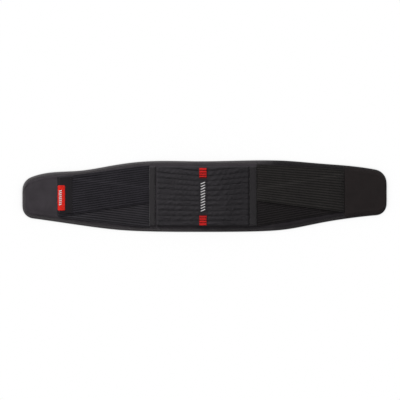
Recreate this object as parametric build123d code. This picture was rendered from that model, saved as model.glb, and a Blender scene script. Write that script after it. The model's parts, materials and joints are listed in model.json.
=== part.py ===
"""Lumbar support belt, laid flat with its outer face up.

X runs along the belt, Y is the wearer's up, and Z = 0 is the inner face that lies against the body.
The belt bends at eight fold lines parallel to Y. Between two folds lies one body, and every layer
is cut at the folds with just enough set-back for the fold's full angle.
"""

from build123d import *
import os
from math import radians, tan

# Laminate: lining, foam and outer fabric bonded together, with a tape sewn round the rim.
LAMINATE_THICKNESS = 3.0
LINING_THICKNESS = 0.6
BINDING_THICKNESS = 0.6
BINDING_WIDTH = 9.0

# Belt ends and the rim's two long edges, as the few points each curve passes.
LEFT_END = -509.5
RIGHT_END = 509.5
LEFT_END_TOP = 41.0
LEFT_END_BOTTOM = -58.7
RIGHT_END_TOP = 67.4
RIGHT_END_BOTTOM = -51.8
TOP_EDGE = [
    (-440, 64.6), (-350, 70.7), (-262, 84.8), (-170, 96.5), (-20, 97.2),
    (141, 99.8), (231, 98.4), (321, 91.1), (420, 82.8),
]
BOTTOM_EDGE = [
    (-419, -71.1), (-329, -84.1), (-239, -94.7), (-150, -99), (0, -100.2),
    (141, -98.9), (231, -92.8), (321, -75.7), (410, -61.3),
]
LEFT_TOP_RADIUS = 38.0
LEFT_BOTTOM_RADIUS = 33.0
RIGHT_TOP_RADIUS = 38.0
RIGHT_BOTTOM_RADIUS = 31.0

# The back panel sits a little to the left of the belt's middle.
PANEL_CENTRE = -4.5

# Fold lines: place along the belt, and the greatest angle either way in degrees.
LEFT_TAB_FOLD = -421.0
LEFT_WING_FOLD = -266.0
LEFT_PANEL_FOLD = PANEL_CENTRE - 152.5
LEFT_BACK_FOLD = PANEL_CENTRE - 75.0
RIGHT_BACK_FOLD = PANEL_CENTRE + 75.0
RIGHT_PANEL_FOLD = PANEL_CENTRE + 152.5
RIGHT_WING_FOLD = 281.0
RIGHT_TAB_FOLD = 394.0
BACK_FOLD_ANGLE = 30.0
PANEL_FOLD_ANGLE = 50.0
WING_FOLD_ANGLE = 55.0
TAB_FOLD_ANGLE = 45.0
FOLD_HALF_GAP = 0.4
LAYER_CLEARANCE = 0.3

# Hook and loop.
HOOK_THICKNESS = 1.2
HOOK_MARGIN = 13.0
LOOP_THICKNESS = 1.2
LOOP_MARGIN = 3.0

# Elastic bands, two to a side, the upper one lying over the lower one.
BAND_THICKNESS = 1.6
LEFT_BAND_END = -411.0
RIGHT_BAND_END = 390.5
BAND_INNER_X = 155.0
BAND_OUTER_X = 375.0
# Each edge: height at BAND_INNER_X and at BAND_OUTER_X from the middle.
LEFT_UPPER_TOP = (86.5, 57.5)
LEFT_UPPER_BOTTOM = (-19.6, -52.6)
LEFT_LOWER_TOP = (22.4, 49.5)
LEFT_LOWER_BOTTOM = (-89.0, -63.7)
RIGHT_UPPER_TOP = (89.3, 75.0)
RIGHT_UPPER_BOTTOM = (-14.5, -43.4)
RIGHT_LOWER_TOP = (20.0, 59.0)
RIGHT_LOWER_BOTTOM = (-84.0, -45.0)

# Patch over the left bands' ends, and the label sewn on it.
END_PATCH_THICKNESS = 0.8
END_PATCH_INNER_X = -369.0
END_PATCH_TOP = 57.0
END_PATCH_BOTTOM = -51.0
LABEL_WIDTH = 25.0
LABEL_TOP = 31.0
LABEL_BOTTOM = -42.0
LABEL_THICKNESS = 0.7
LABEL_CORNER = 3.0

# Back panel.
PANEL_TOP = 83.0
PANEL_BOTTOM = -84.5
PANEL_THICKNESS = 5.0
CORE_THICKNESS = 3.0
COVER_RIM = 3.0
RIB_COUNT = 12
RIB_HEIGHT = 1.1

# Stay channels at the panel's two ends, measured from the panel's middle.
CHANNEL_REACH = 129.5
CHANNEL_THICKNESS = 3.0

# Spring-steel stays with moulded tips.
STAY_WIDTH = 12.0
STAY_THICKNESS = 1.0
STAY_END_MARGIN = 4.75
STAY_CORNER = 4.0
TIP_WALL = 0.4
TIP_REACH = 12.0
TIP_NOSE = 2.0
TIP_CORNER = 4.5
POCKET_CLEARANCE = 0.1
INNER_STAY_REACH = 27.0

# Centre ribbon with its two red end patches.
RIBBON_WIDTH = 24.0
RIBBON_THICKNESS = 0.8
RIBBON_TOP_MARGIN = 2.75
RIBBON_BOTTOM_MARGIN = 0.75
RED_PATCH_WIDTH = 21.0
RED_PATCH_LENGTH = 29.0
RED_PATCH_THICKNESS = 0.4
RED_PATCH_INSET = 1.5
RED_BAR_COUNT = 4
RED_BAR_HEIGHT = 0.5
RED_BAR_FIRST = 5.0
RED_BAR_SHRINK = 0.85
RED_BAR_GAP = 2.2

PIVOT_HEIGHT = LAMINATE_THICKNESS / 2
NOSE_RADIUS = LAMINATE_THICKNESS / 2
ACROSS = 2 * (max(y for _, y in TOP_EDGE) - min(y for _, y in BOTTOM_EDGE))
STAY_LENGTH = PANEL_TOP - PANEL_BOTTOM - 2 * (COVER_RIM + STAY_END_MARGIN + TIP_NOSE + POCKET_CLEARANCE)
RIBBON_TOP = PANEL_TOP - RIBBON_TOP_MARGIN
RIBBON_BOTTOM = PANEL_BOTTOM + RIBBON_BOTTOM_MARGIN
OUTER_FACE = LAMINATE_THICKNESS
PANEL_FACE = OUTER_FACE + PANEL_THICKNESS

FOLD_ANGLE = {
    LEFT_TAB_FOLD: TAB_FOLD_ANGLE, LEFT_WING_FOLD: WING_FOLD_ANGLE,
    LEFT_PANEL_FOLD: PANEL_FOLD_ANGLE, LEFT_BACK_FOLD: BACK_FOLD_ANGLE,
    RIGHT_BACK_FOLD: BACK_FOLD_ANGLE, RIGHT_PANEL_FOLD: PANEL_FOLD_ANGLE,
    RIGHT_WING_FOLD: WING_FOLD_ANGLE, RIGHT_TAB_FOLD: TAB_FOLD_ANGLE,
}

# Bodies from left to right, each between two folds or between a fold and an end of the belt.
BODIES = {
    "left_tab": (LEFT_END, LEFT_TAB_FOLD),
    "left_wing_outer": (LEFT_TAB_FOLD, LEFT_WING_FOLD),
    "left_wing_inner": (LEFT_WING_FOLD, LEFT_PANEL_FOLD),
    "left_back": (LEFT_PANEL_FOLD, LEFT_BACK_FOLD),
    "centre_back": (LEFT_BACK_FOLD, RIGHT_BACK_FOLD),
    "right_back": (RIGHT_BACK_FOLD, RIGHT_PANEL_FOLD),
    "right_wing_inner": (RIGHT_PANEL_FOLD, RIGHT_WING_FOLD),
    "right_wing_outer": (RIGHT_WING_FOLD, RIGHT_TAB_FOLD),
    "right_tab": (RIGHT_TAB_FOLD, RIGHT_END),
}


def plate(face, z_low, z_high):
    """The face, drawn at Z = 0, as a plate between two heights."""
    return extrude(Pos(0, 0, z_low) * face, z_high - z_low)


def box(x_low, x_high, y_low, y_high, z_low, z_high):
    """A block between two corners."""
    size = (x_high - x_low, y_high - y_low, z_high - z_low)
    middle = Pos((x_low + x_high) / 2, (y_low + y_high) / 2, (z_low + z_high) / 2)
    return middle * Box(*size)


def save(shape, name):
    """Writes one sub-part."""
    export_step(shape, f"parts/{name}.step")


def set_back(fold, top):
    """How far a layer reaching up to top stays from a fold, so that it clears at full angle."""
    return (top - PIVOT_HEIGHT) * tan(radians(FOLD_ANGLE[fold] / 2)) + LAYER_CLEARANCE


def layer_span(body, top):
    """The X range that a layer reaching up to top has on a body."""
    low, high = BODIES[body]
    if low in FOLD_ANGLE:
        low += set_back(low, top)
    if high in FOLD_ANGLE:
        high -= set_back(high, top)
    return low, high


def belt_outline(inset=0.0):
    """The belt's flat outline, moved inward by inset."""
    left, right = LEFT_END + inset, RIGHT_END - inset
    top = [(left, LEFT_END_TOP - inset)]
    top += [(x, y - inset) for x, y in TOP_EDGE]
    top += [(right, RIGHT_END_TOP - inset)]
    bottom = [(left, LEFT_END_BOTTOM + inset)]
    bottom += [(x, y + inset) for x, y in BOTTOM_EDGE]
    bottom += [(right, RIGHT_END_BOTTOM + inset)]
    edges = Spline(*top) + Line(top[-1], bottom[-1]) + Spline(*bottom) + Line(top[0], bottom[0])
    face = make_face(edges)
    corners = [
        (top[0], LEFT_TOP_RADIUS), (bottom[0], LEFT_BOTTOM_RADIUS),
        (top[-1], RIGHT_TOP_RADIUS), (bottom[-1], RIGHT_BOTTOM_RADIUS),
    ]
    for corner, radius in corners:
        face = fillet(face.vertices().sort_by_distance(corner)[0], radius - inset)
    return face


def body_slab(body):
    """Everything between a body's folds over the laminate's thickness, with full-round noses."""
    low, high = BODIES[body]
    reach = 4 * LAMINATE_THICKNESS
    low = low + FOLD_HALF_GAP if low in FOLD_ANGLE else low - reach
    high = high - FOLD_HALF_GAP if high in FOLD_ANGLE else high + reach
    profile = SlotOverall(high - low, LAMINATE_THICKNESS)
    place = Plane(((low + high) / 2, 0, PIVOT_HEIGHT), x_dir=(1, 0, 0), z_dir=(0, -1, 0))
    return extrude(place * profile, ACROSS / 2, both=True)


def straight_span(body):
    """The X range of a body's laminate between its noses."""
    low, high = BODIES[body]
    if low in FOLD_ANGLE:
        low += FOLD_HALF_GAP + NOSE_RADIUS
    if high in FOLD_ANGLE:
        high -= FOLD_HALF_GAP + NOSE_RADIUS
    return low, high


def between(low, high, z_low, z_high):
    """A block right across the belt between two stations."""
    return box(low, high, -ACROSS / 2, ACROSS / 2, z_low, z_high)


def make_laminates():
    """Per body: the foam laminate, its edge binding and its lining, or the hook patch."""
    full = plate(belt_outline(), 0, LAMINATE_THICKNESS)
    inside_binding = plate(belt_outline(BINDING_WIDTH), 0, LAMINATE_THICKNESS)
    rim_core = plate(
        belt_outline(BINDING_THICKNESS), BINDING_THICKNESS, LAMINATE_THICKNESS - BINDING_THICKNESS
    )
    binding_ring = full - inside_binding - rim_core
    filled = full - binding_ring
    for body in BODIES:
        slab = body_slab(body)
        low, high = straight_span(body)
        laminate = filled & slab
        if body == "left_tab":
            hook = plate(belt_outline(HOOK_MARGIN), 0, HOOK_THICKNESS)
            hook &= between(low, high - HOOK_MARGIN / 2, 0, HOOK_THICKNESS)
            laminate -= hook
            save(hook, "hook_patch")
        else:
            lining = inside_binding & between(low, high, 0, LINING_THICKNESS)
            laminate -= lining
            save(lining, f"{body}_lining")
        save(laminate, f"{body}_laminate")
        save(binding_ring & slab, f"{body}_binding")


def make_loop_patch():
    """The loop field that covers the right tab's outer face."""
    top = OUTER_FACE + LOOP_THICKNESS
    low, high = layer_span("right_tab", top)
    patch = plate(belt_outline(LOOP_MARGIN), OUTER_FACE, top) & between(low, high, OUTER_FACE, top)
    save(patch, "loop_patch")


def edge_height(edge, x):
    """Height of a band's edge at a station, from its two given heights."""
    inner, outer = edge
    return inner + (outer - inner) * (abs(x) - BAND_INNER_X) / (BAND_OUTER_X - BAND_INNER_X)


def band_face(top_edge, bottom_edge, low, high, grow=0.0):
    """A band's outline between two stations, widened by grow on both edges."""
    corners = [
        (low, edge_height(bottom_edge, low) - grow), (high, edge_height(bottom_edge, high) - grow),
        (high, edge_height(top_edge, high) + grow), (low, edge_height(top_edge, low) + grow),
    ]
    return make_face(Polyline(*corners, close=True))


def make_bands(side, body, upper_edges, lower_edges, stop):
    """The part of a side's two bands that one body carries."""
    middle = OUTER_FACE + BAND_THICKNESS
    top = middle + BAND_THICKNESS
    low, high = layer_span(body, top)
    low, high = (max(low, stop), high) if side == "left" else (low, min(high, stop))
    lower_face = band_face(*lower_edges, low, high)
    upper_face = band_face(*upper_edges, low, high)
    step_face = band_face(*lower_edges, low, high, BAND_THICKNESS)
    upper = plate(upper_face & step_face, middle, top) + plate(upper_face - lower_face, OUTER_FACE, middle)
    # Where the upper band leaves the lower one it steps down through a wall as thick as the band.
    upper += plate((upper_face & step_face) - lower_face, OUTER_FACE, top)
    place = body.removeprefix(f"{side}_wing_")
    save(plate(lower_face, OUTER_FACE, middle), f"{side}_lower_band_{place}")
    save(upper, f"{side}_upper_band_{place}")


def make_left_end_patch():
    """The fabric patch over the left bands' ends, and the label on it."""
    bands_top = OUTER_FACE + 2 * BAND_THICKNESS
    patch_top = bands_top + END_PATCH_THICKNESS
    label_top = patch_top + LABEL_THICKNESS
    patch_face = band_face(LEFT_UPPER_TOP, LEFT_UPPER_BOTTOM, LEFT_BAND_END, END_PATCH_INNER_X)
    patch_face &= make_face(Polyline(
        (LEFT_BAND_END, END_PATCH_BOTTOM), (END_PATCH_INNER_X, END_PATCH_BOTTOM),
        (END_PATCH_INNER_X, END_PATCH_TOP), (LEFT_BAND_END, END_PATCH_TOP), close=True,
    ))
    save(plate(patch_face, bands_top, patch_top), "left_end_patch")
    label_height = LABEL_TOP - LABEL_BOTTOM
    label_face = RectangleRounded(LABEL_WIDTH, label_height, LABEL_CORNER)
    label_x = LEFT_BAND_END + LAYER_CLEARANCE + LABEL_WIDTH / 2
    label_face = Pos(label_x, LABEL_BOTTOM + label_height / 2) * label_face
    save(plate(label_face, patch_top, label_top), "side_label")


def stay_face(x, grow=0.0):
    """Outline of one stay standing across the belt."""
    size = (STAY_WIDTH + 2 * grow, STAY_LENGTH + 2 * grow)
    return Pos(x, (PANEL_TOP + PANEL_BOTTOM) / 2) * RectangleRounded(*size, STAY_CORNER + grow)


def make_stay(x, z_middle):
    """One stay, its two tips, and the pocket that holds them."""
    stay = plate(stay_face(x), z_middle - STAY_THICKNESS / 2, z_middle + STAY_THICKNESS / 2)
    centre_y = (PANEL_TOP + PANEL_BOTTOM) / 2
    tip_length = STAY_LENGTH + 2 * TIP_NOSE
    tip_width = STAY_WIDTH + 2 * TIP_WALL
    half_thickness = STAY_THICKNESS / 2 + TIP_WALL
    tip_face = Pos(x, centre_y) * RectangleRounded(tip_width, tip_length, TIP_CORNER)
    sleeve = plate(tip_face, z_middle - half_thickness, z_middle + half_thickness)
    reach = tip_length / 2 - TIP_REACH
    sleeve -= box(
        x - tip_width, x + tip_width, centre_y - reach, centre_y + reach,
        z_middle - 2 * half_thickness, z_middle + 2 * half_thickness,
    )
    tips = sleeve - stay
    pocket_face = Pos(x, centre_y) * RectangleRounded(
        tip_width + 2 * POCKET_CLEARANCE, tip_length + 2 * POCKET_CLEARANCE, TIP_CORNER
    )
    pocket_half = half_thickness + POCKET_CLEARANCE
    return stay, tips, plate(pocket_face, z_middle - pocket_half, z_middle + pocket_half)


def ribbed_block(low, high):
    """The panel's full height between two stations, with ribs along X on its outer face."""
    valley = PANEL_FACE - RIB_HEIGHT
    pitch = (PANEL_TOP - PANEL_BOTTOM) / RIB_COUNT
    profile = Line((PANEL_BOTTOM, valley), (PANEL_BOTTOM, OUTER_FACE))
    profile += Line((PANEL_BOTTOM, OUTER_FACE), (PANEL_TOP, OUTER_FACE))
    profile += Line((PANEL_TOP, OUTER_FACE), (PANEL_TOP, valley))
    for rib in range(RIB_COUNT):
        start = PANEL_BOTTOM + rib * pitch
        crest = (start + pitch / 2, PANEL_FACE)
        profile += ThreePointArc((start, valley), crest, (start + pitch, valley))
    place = Plane((low, 0, 0), x_dir=(0, 1, 0), z_dir=(1, 0, 0))
    return extrude(place * make_face(profile), high - low)


def make_panel(body):
    """A body's share of the back panel: ribbed cover, foam core, stays and their tips."""
    low, high = layer_span(body, PANEL_FACE)
    if body == "left_back":
        low = PANEL_CENTRE - CHANNEL_REACH
    if body == "right_back":
        high = PANEL_CENTRE + CHANNEL_REACH
    core = box(
        low + COVER_RIM, high - COVER_RIM, PANEL_BOTTOM + COVER_RIM, PANEL_TOP - COVER_RIM,
        OUTER_FACE, OUTER_FACE + CORE_THICKNESS,
    )
    save(ribbed_block(low, high) - core, f"{body}_ribbed_cover")
    if body != "centre_back":
        save(core, f"{body}_foam_core")
        return
    stays, tips = [], []
    for x in (PANEL_CENTRE - INNER_STAY_REACH, PANEL_CENTRE + INNER_STAY_REACH):
        stay, tip_pair, pocket = make_stay(x, OUTER_FACE + CORE_THICKNESS / 2)
        core -= pocket
        stays.append(stay)
        tips += tip_pair.solids()
    save(core, f"{body}_foam_core")
    save(Compound(children=stays), f"{body}_stays")
    save(Compound(children=tips), f"{body}_stay_tips")


def make_channel(body, sign):
    """The webbing channel at an end of the panel, with the stay inside it."""
    top = OUTER_FACE + CHANNEL_THICKNESS
    low, high = layer_span(body, top)
    inner = PANEL_CENTRE + sign * CHANNEL_REACH
    outer = high if sign > 0 else low
    channel = box(min(inner, outer), max(inner, outer), PANEL_BOTTOM, PANEL_TOP, OUTER_FACE, top)
    stay, tips, pocket = make_stay((inner + outer) / 2, (OUTER_FACE + top) / 2)
    save(channel - pocket, f"{body}_stay_channel")
    save(stay, f"{body}_stay")
    save(tips, f"{body}_stay_tips")


def ribbon_box(width, y_low, y_high, z_low, z_high):
    """A block as wide as given on the panel's middle line."""
    return box(PANEL_CENTRE - width / 2, PANEL_CENTRE + width / 2, y_low, y_high, z_low, z_high)


def make_ribbon():
    """The centre ribbon and the red patch at each of its ends."""
    ribbon_top = PANEL_FACE + RIBBON_THICKNESS
    save(ribbon_box(RIBBON_WIDTH, RIBBON_BOTTOM, RIBBON_TOP, PANEL_FACE, ribbon_top), "centre_ribbon")
    patch_top = ribbon_top + RED_PATCH_THICKNESS
    bar_top = patch_top + RED_BAR_HEIGHT
    bar_length = RED_PATCH_WIDTH - 2 * RED_PATCH_INSET
    ends = {"upper_red_patch": (RIBBON_TOP, -1), "lower_red_patch": (RIBBON_BOTTOM, 1)}
    for name, (ribbon_end, inward) in ends.items():
        outer = ribbon_end + inward * RED_PATCH_INSET
        inner = outer + inward * RED_PATCH_LENGTH
        patch = ribbon_box(RED_PATCH_WIDTH, min(outer, inner), max(outer, inner), ribbon_top, patch_top)
        start = outer + inward * RED_PATCH_INSET
        width = RED_BAR_FIRST
        for bar in range(RED_BAR_COUNT):
            stop = start + inward * width
            patch += ribbon_box(bar_length, min(start, stop), max(start, stop), patch_top, bar_top)
            start = stop + inward * RED_BAR_GAP
            width *= RED_BAR_SHRINK
        save(patch, name)


os.makedirs("parts", exist_ok=True)
make_laminates()
make_loop_patch()
for wing in ("left_wing_outer", "left_wing_inner"):
    make_bands(
        "left", wing, (LEFT_UPPER_TOP, LEFT_UPPER_BOTTOM), (LEFT_LOWER_TOP, LEFT_LOWER_BOTTOM), LEFT_BAND_END
    )
for wing in ("right_wing_inner", "right_wing_outer"):
    make_bands(
        "right", wing, (RIGHT_UPPER_TOP, RIGHT_UPPER_BOTTOM), (RIGHT_LOWER_TOP, RIGHT_LOWER_BOTTOM),
        RIGHT_BAND_END,
    )
make_left_end_patch()
for panel_body in ("left_back", "centre_back", "right_back"):
    make_panel(panel_body)
make_channel("left_back", -1)
make_channel("right_back", 1)
make_ribbon()
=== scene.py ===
import json
from collections import namedtuple
from math import ceil, pi, radians

import bmesh
import bpy
import numpy as np
from bpy.props import FloatProperty, FloatVectorProperty, IntProperty, PointerProperty
from mathutils import Matrix, Vector
from mathutils.bvhtree import BVHTree

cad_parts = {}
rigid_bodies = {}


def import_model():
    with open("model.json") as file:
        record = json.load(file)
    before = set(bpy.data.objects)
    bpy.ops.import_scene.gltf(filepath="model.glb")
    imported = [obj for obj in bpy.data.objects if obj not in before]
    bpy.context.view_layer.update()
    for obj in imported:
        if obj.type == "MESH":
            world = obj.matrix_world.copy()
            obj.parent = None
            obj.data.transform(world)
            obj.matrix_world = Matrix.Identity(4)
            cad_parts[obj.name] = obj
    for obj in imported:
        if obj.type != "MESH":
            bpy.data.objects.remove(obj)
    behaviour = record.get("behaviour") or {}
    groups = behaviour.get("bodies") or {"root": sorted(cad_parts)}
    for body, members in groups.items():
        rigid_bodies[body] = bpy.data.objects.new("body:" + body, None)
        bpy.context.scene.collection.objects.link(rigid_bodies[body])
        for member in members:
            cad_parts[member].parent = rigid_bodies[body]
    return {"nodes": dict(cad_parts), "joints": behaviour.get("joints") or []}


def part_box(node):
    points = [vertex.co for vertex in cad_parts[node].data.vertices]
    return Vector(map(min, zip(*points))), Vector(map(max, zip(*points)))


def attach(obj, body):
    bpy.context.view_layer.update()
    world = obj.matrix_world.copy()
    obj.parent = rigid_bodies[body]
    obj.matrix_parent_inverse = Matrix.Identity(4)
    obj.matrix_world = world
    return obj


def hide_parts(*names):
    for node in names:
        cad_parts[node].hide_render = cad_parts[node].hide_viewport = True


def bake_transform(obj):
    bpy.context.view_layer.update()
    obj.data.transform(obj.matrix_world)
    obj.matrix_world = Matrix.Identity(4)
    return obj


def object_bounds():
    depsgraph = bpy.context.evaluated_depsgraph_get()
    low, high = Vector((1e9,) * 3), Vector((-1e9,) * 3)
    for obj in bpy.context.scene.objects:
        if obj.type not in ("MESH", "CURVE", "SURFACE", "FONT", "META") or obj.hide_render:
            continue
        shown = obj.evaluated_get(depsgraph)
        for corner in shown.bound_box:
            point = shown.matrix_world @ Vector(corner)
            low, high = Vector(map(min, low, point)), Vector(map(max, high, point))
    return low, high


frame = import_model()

bl_info = {
    "name": "Lumbar Support Belt",
    "version": (1, 0, 0),
    "blender": (4, 5, 0),
    "location": "View3D > Sidebar > Belt",
    "description": "Dresses a lumbar support belt in cloth, ribbed elastic, webbing and thread",
    "category": "Add Mesh",
}

CAD_BOUNDS = [[float(v) for v in corner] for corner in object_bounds()]
MM = 0.001


# Reading the frame ------------------------------------------------------------------------------

def node_trees(*names):
    """Ray-cast trees of CAD nodes."""
    trees = []
    for name in names:
        mesh = frame["nodes"][name].data
        points = [vertex.co.copy() for vertex in mesh.vertices]
        trees.append(BVHTree.FromPolygons(points, [tuple(face.vertices) for face in mesh.polygons]))
    return trees


def span_across(trees, x, z):
    """Lowest and highest Y of the solids at a station and height, or None where there is a gap."""
    high, low = [], []
    for tree in trees:
        hit = tree.ray_cast(Vector((x, 0.4, z)), Vector((0, -1, 0)))[0]
        if hit:
            high.append(hit.y)
        hit = tree.ray_cast(Vector((x, -0.4, z)), Vector((0, 1, 0)))[0]
        if hit:
            low.append(hit.y)
    return (min(low), max(high)) if high and low else None


def lines_across(names, low_z, high_z):
    """The straight lower and upper edge of a band, each as (slope, height at X = 0)."""
    spots, bottoms, tops = [], [], []
    for name in names:
        low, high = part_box(name)
        tree = node_trees(name)
        for share in (0.1, 0.9):
            x = low.x + share * (high.x - low.x)
            spots.append(x)
            bottoms.append(span_across(tree, x, low_z)[0])
            tops.append(span_across(tree, x, high_z)[1])
    return np.polyfit(spots, bottoms, 1), np.polyfit(spots, tops, 1)


Rim = namedtuple("Rim", "length x y nx ny")

END_CORNER = 45 * MM
RIM_STEP = 0.8 * MM
RIM_SMOOTHING = 8 * MM


def read_rim(step):
    """The belt's outline from its edge binding: a loop anticlockwise from the top at X = 0."""
    trees = node_trees(*[name for name in frame["nodes"] if name.endswith("_binding")])
    left, right = CAD_BOUNDS[0][0], CAD_BOUNDS[1][0]
    bend = 1 - np.cos(np.linspace(0.03, pi / 2, 40))
    spots = np.concatenate([
        left + END_CORNER * bend, np.arange(left + END_CORNER, right - END_CORNER, 3 * MM)[1:],
        (right - END_CORNER * bend)[::-1],
    ])
    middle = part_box("centre_back_laminate")[1].z / 2
    rows = [(x, span_across(trees, x, middle)) for x in spots]
    x, low, high = np.array([(x, *span) for x, span in rows if span]).T
    end = np.linspace(0, 1, 12)[1:-1]
    left_end = np.stack([np.full(len(end), left), high[0] + end * (low[0] - high[0])], 1)
    right_end = np.stack([np.full(len(end), right), low[-1] + end * (high[-1] - low[-1])], 1)
    top, bottom = np.stack([x, high], 1), np.stack([x, low], 1)
    loop = np.concatenate([top[x <= 0][::-1], left_end, bottom, right_end, top[x > 0][::-1]])
    closed = np.concatenate([loop, loop[:1]])
    run = np.concatenate([[0], np.cumsum(np.linalg.norm(np.diff(closed, axis=0), axis=1))])
    even = np.linspace(0, run[-1], int(run[-1] / step), endpoint=False)
    points = np.stack([np.interp(even, run, closed[:, i]) for i in (0, 1)], 1)
    window = int(RIM_SMOOTHING / step) | 1
    reach = window // 2
    padded = np.concatenate([points[-reach:], points, points[:reach]])
    kernel = np.ones(window) / window
    points = np.stack([np.convolve(padded[:, i], kernel, "valid") for i in (0, 1)], 1)
    ahead = np.roll(points, -3, 0) - np.roll(points, 3, 0)
    ahead /= np.linalg.norm(ahead, axis=1)[:, None]
    return Rim(run[-1], points[:, 0], points[:, 1], ahead[:, 1], -ahead[:, 0])


RIM = read_rim(RIM_STEP)


def rim_at(length, inset):
    """Points of the rim at lengths round it, moved inward."""
    share = np.asarray(length) / RIM.length * len(RIM.x)
    index = np.arange(len(RIM.x) + 1)
    x, y, nx, ny = (np.interp(share % len(RIM.x), index, np.append(row, row[0])) for row in RIM[1:])
    return x - nx * inset, y - ny * inset


def rim_edges(inset):
    """The belt's lower and upper edge at an inset, as functions of X, and its X range there."""
    x, y = RIM.x - RIM.nx * inset, RIM.y - RIM.ny * inset
    top, bottom = RIM.ny > 0.01, RIM.ny < -0.01
    top_order, bottom_order = np.argsort(x[top]), np.argsort(x[bottom])
    top_x, top_y = x[top][top_order], y[top][top_order]
    low_x, low_y = x[bottom][bottom_order], y[bottom][bottom_order]

    def lower(at):
        return np.interp(at, low_x, low_y)

    def upper(at):
        return np.interp(at, top_x, top_y)

    return lower, upper, float(x.min()), float(x.max())


LOWER_EDGE, UPPER_EDGE, BELT_LEFT, BELT_RIGHT = rim_edges(0)

Segment = namedtuple("Segment", "index low high first second start stop")

WING_BEND = 45 * MM
PANEL_BEND = 30 * MM


def read_segments():
    """The belt cut midway between its folds: each segment holds one fold and a range about it, body
    to body.
    """
    joints = sorted(frame["joints"], key=lambda joint: joint["pos_m"][0])
    folds = [joint["pos_m"][0] for joint in joints]
    middles = [(a + b) / 2 for a, b in zip(folds, folds[1:])]
    cuts = [BELT_LEFT - 10 * MM, *middles, BELT_RIGHT + 10 * MM]
    segments = []
    for index, (joint, fold) in enumerate(zip(joints, folds)):
        low, high = cuts[index], cuts[index + 1]
        reach = min(WING_BEND, 0.97 * (fold - low), 0.97 * (high - fold))
        start, stop = fold - reach, fold + reach
        # The stay channel beside a panel fold stays straight, so the bend lies outside it.
        if joint["name"] == "left_panel_fold":
            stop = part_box("left_back_stay_channel")[0].x
            start = fold - PANEL_BEND
        if joint["name"] == "right_panel_fold":
            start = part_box("right_back_stay_channel")[1].x
            stop = fold + PANEL_BEND
        if "back_fold" in joint["name"]:
            start, stop = fold - PANEL_BEND, fold + PANEL_BEND
        first, second = joint["parent"], joint["child"]
        if fold < 0:
            first, second = second, first
        segments.append(Segment(index, low, high, first, second, start, stop))
    return segments


SEGMENTS = read_segments()
OUTER_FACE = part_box("centre_back_laminate")[1].z
BAND_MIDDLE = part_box("left_lower_band_inner")[1].z
BAND_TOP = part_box("left_upper_band_inner")[1].z
PANEL_LOW, PANEL_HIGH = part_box("centre_back_ribbed_cover")
COVER_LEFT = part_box("left_back_ribbed_cover")[0].x
COVER_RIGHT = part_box("right_back_ribbed_cover")[1].x
PANEL_MIDDLE = (COVER_LEFT + COVER_RIGHT) / 2
COVER_REACH = (COVER_RIGHT - COVER_LEFT) / 2


# Mesh helpers -----------------------------------------------------------------------------------

def stations(low, high, step):
    """Even stations from low to high, no further apart than step."""
    return np.linspace(low, high, max(2, ceil((high - low) / step - 1e-6) + 1))


def smooth_step(value):
    """0 below 0, 1 above 1, and a smooth rise between."""
    value = np.clip(value, 0, 1)
    return value * value * (3 - 2 * value)


def shoulder(value):
    """0 below 0, 1 above 1, and between them a rise that starts steep and rounds over."""
    return np.sqrt(np.clip(value, 0, 1))


def mound(distance, reach):
    """1 at a distance of 0, falling to 0 over about twice the reach."""
    return np.exp(-((distance / reach) ** 2))


def sway(x, y):
    """The gentle unevenness of cloth lying flat, shared by every layer."""
    broad = 0.16 * np.sin(23 * x + 1.3) * np.cos(31 * y + 0.4)
    fine = 0.07 * np.sin(71 * x - 38 * y + 2.1) + 0.05 * np.sin(113 * x + 87 * y)
    return (broad + fine + 0.2) * MM


def outer_face(x, y):
    """Height of the laminate's outer face: pressed thin at the rim, with a soft roll beside it."""
    to_rim = np.minimum(UPPER_EDGE(x) - y, y - LOWER_EDGE(x)) / MM
    thin = 1.9 * (1 - np.clip(to_rim / 13, 0, 1)) ** 1.6
    roll = 0.5 * np.sin(pi * np.clip((to_rim - 8) / 12, 0, 1)) ** 2
    return OUTER_FACE + (roll - thin) * MM + sway(x, y)


def painted_falloff_shade(x, y):
    """Painted shade, not dye: full on the left, darker past the right channel and along the foot,
    where the light falls off.
    """
    foot = smooth_step(-y / (60 * MM))
    past_channel = smooth_step((x - 150 * MM) / (60 * MM))
    past_middle = smooth_step((x + 40 * MM) / (100 * MM))
    return 1 - np.maximum((0.8 - 0.15 * foot) * past_channel, (0.15 + 0.38 * past_middle) * foot)


def finish_piece(piece, material, slot, *nodes):
    """Smooth shading and its material; the nodes it stands for are hidden. The slot is not used."""
    piece.data.polygons.foreach_set("use_smooth", [True] * len(piece.data.polygons))
    piece.data.materials.append(material)
    if nodes:
        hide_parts(*nodes)


def vertex_places(mesh):
    """A mesh's vertices as rows of X, Y, Z."""
    flat = np.zeros(len(mesh.vertices) * 3, np.float32)
    mesh.vertices.foreach_get("co", flat)
    return flat.reshape(-1, 3)


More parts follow.
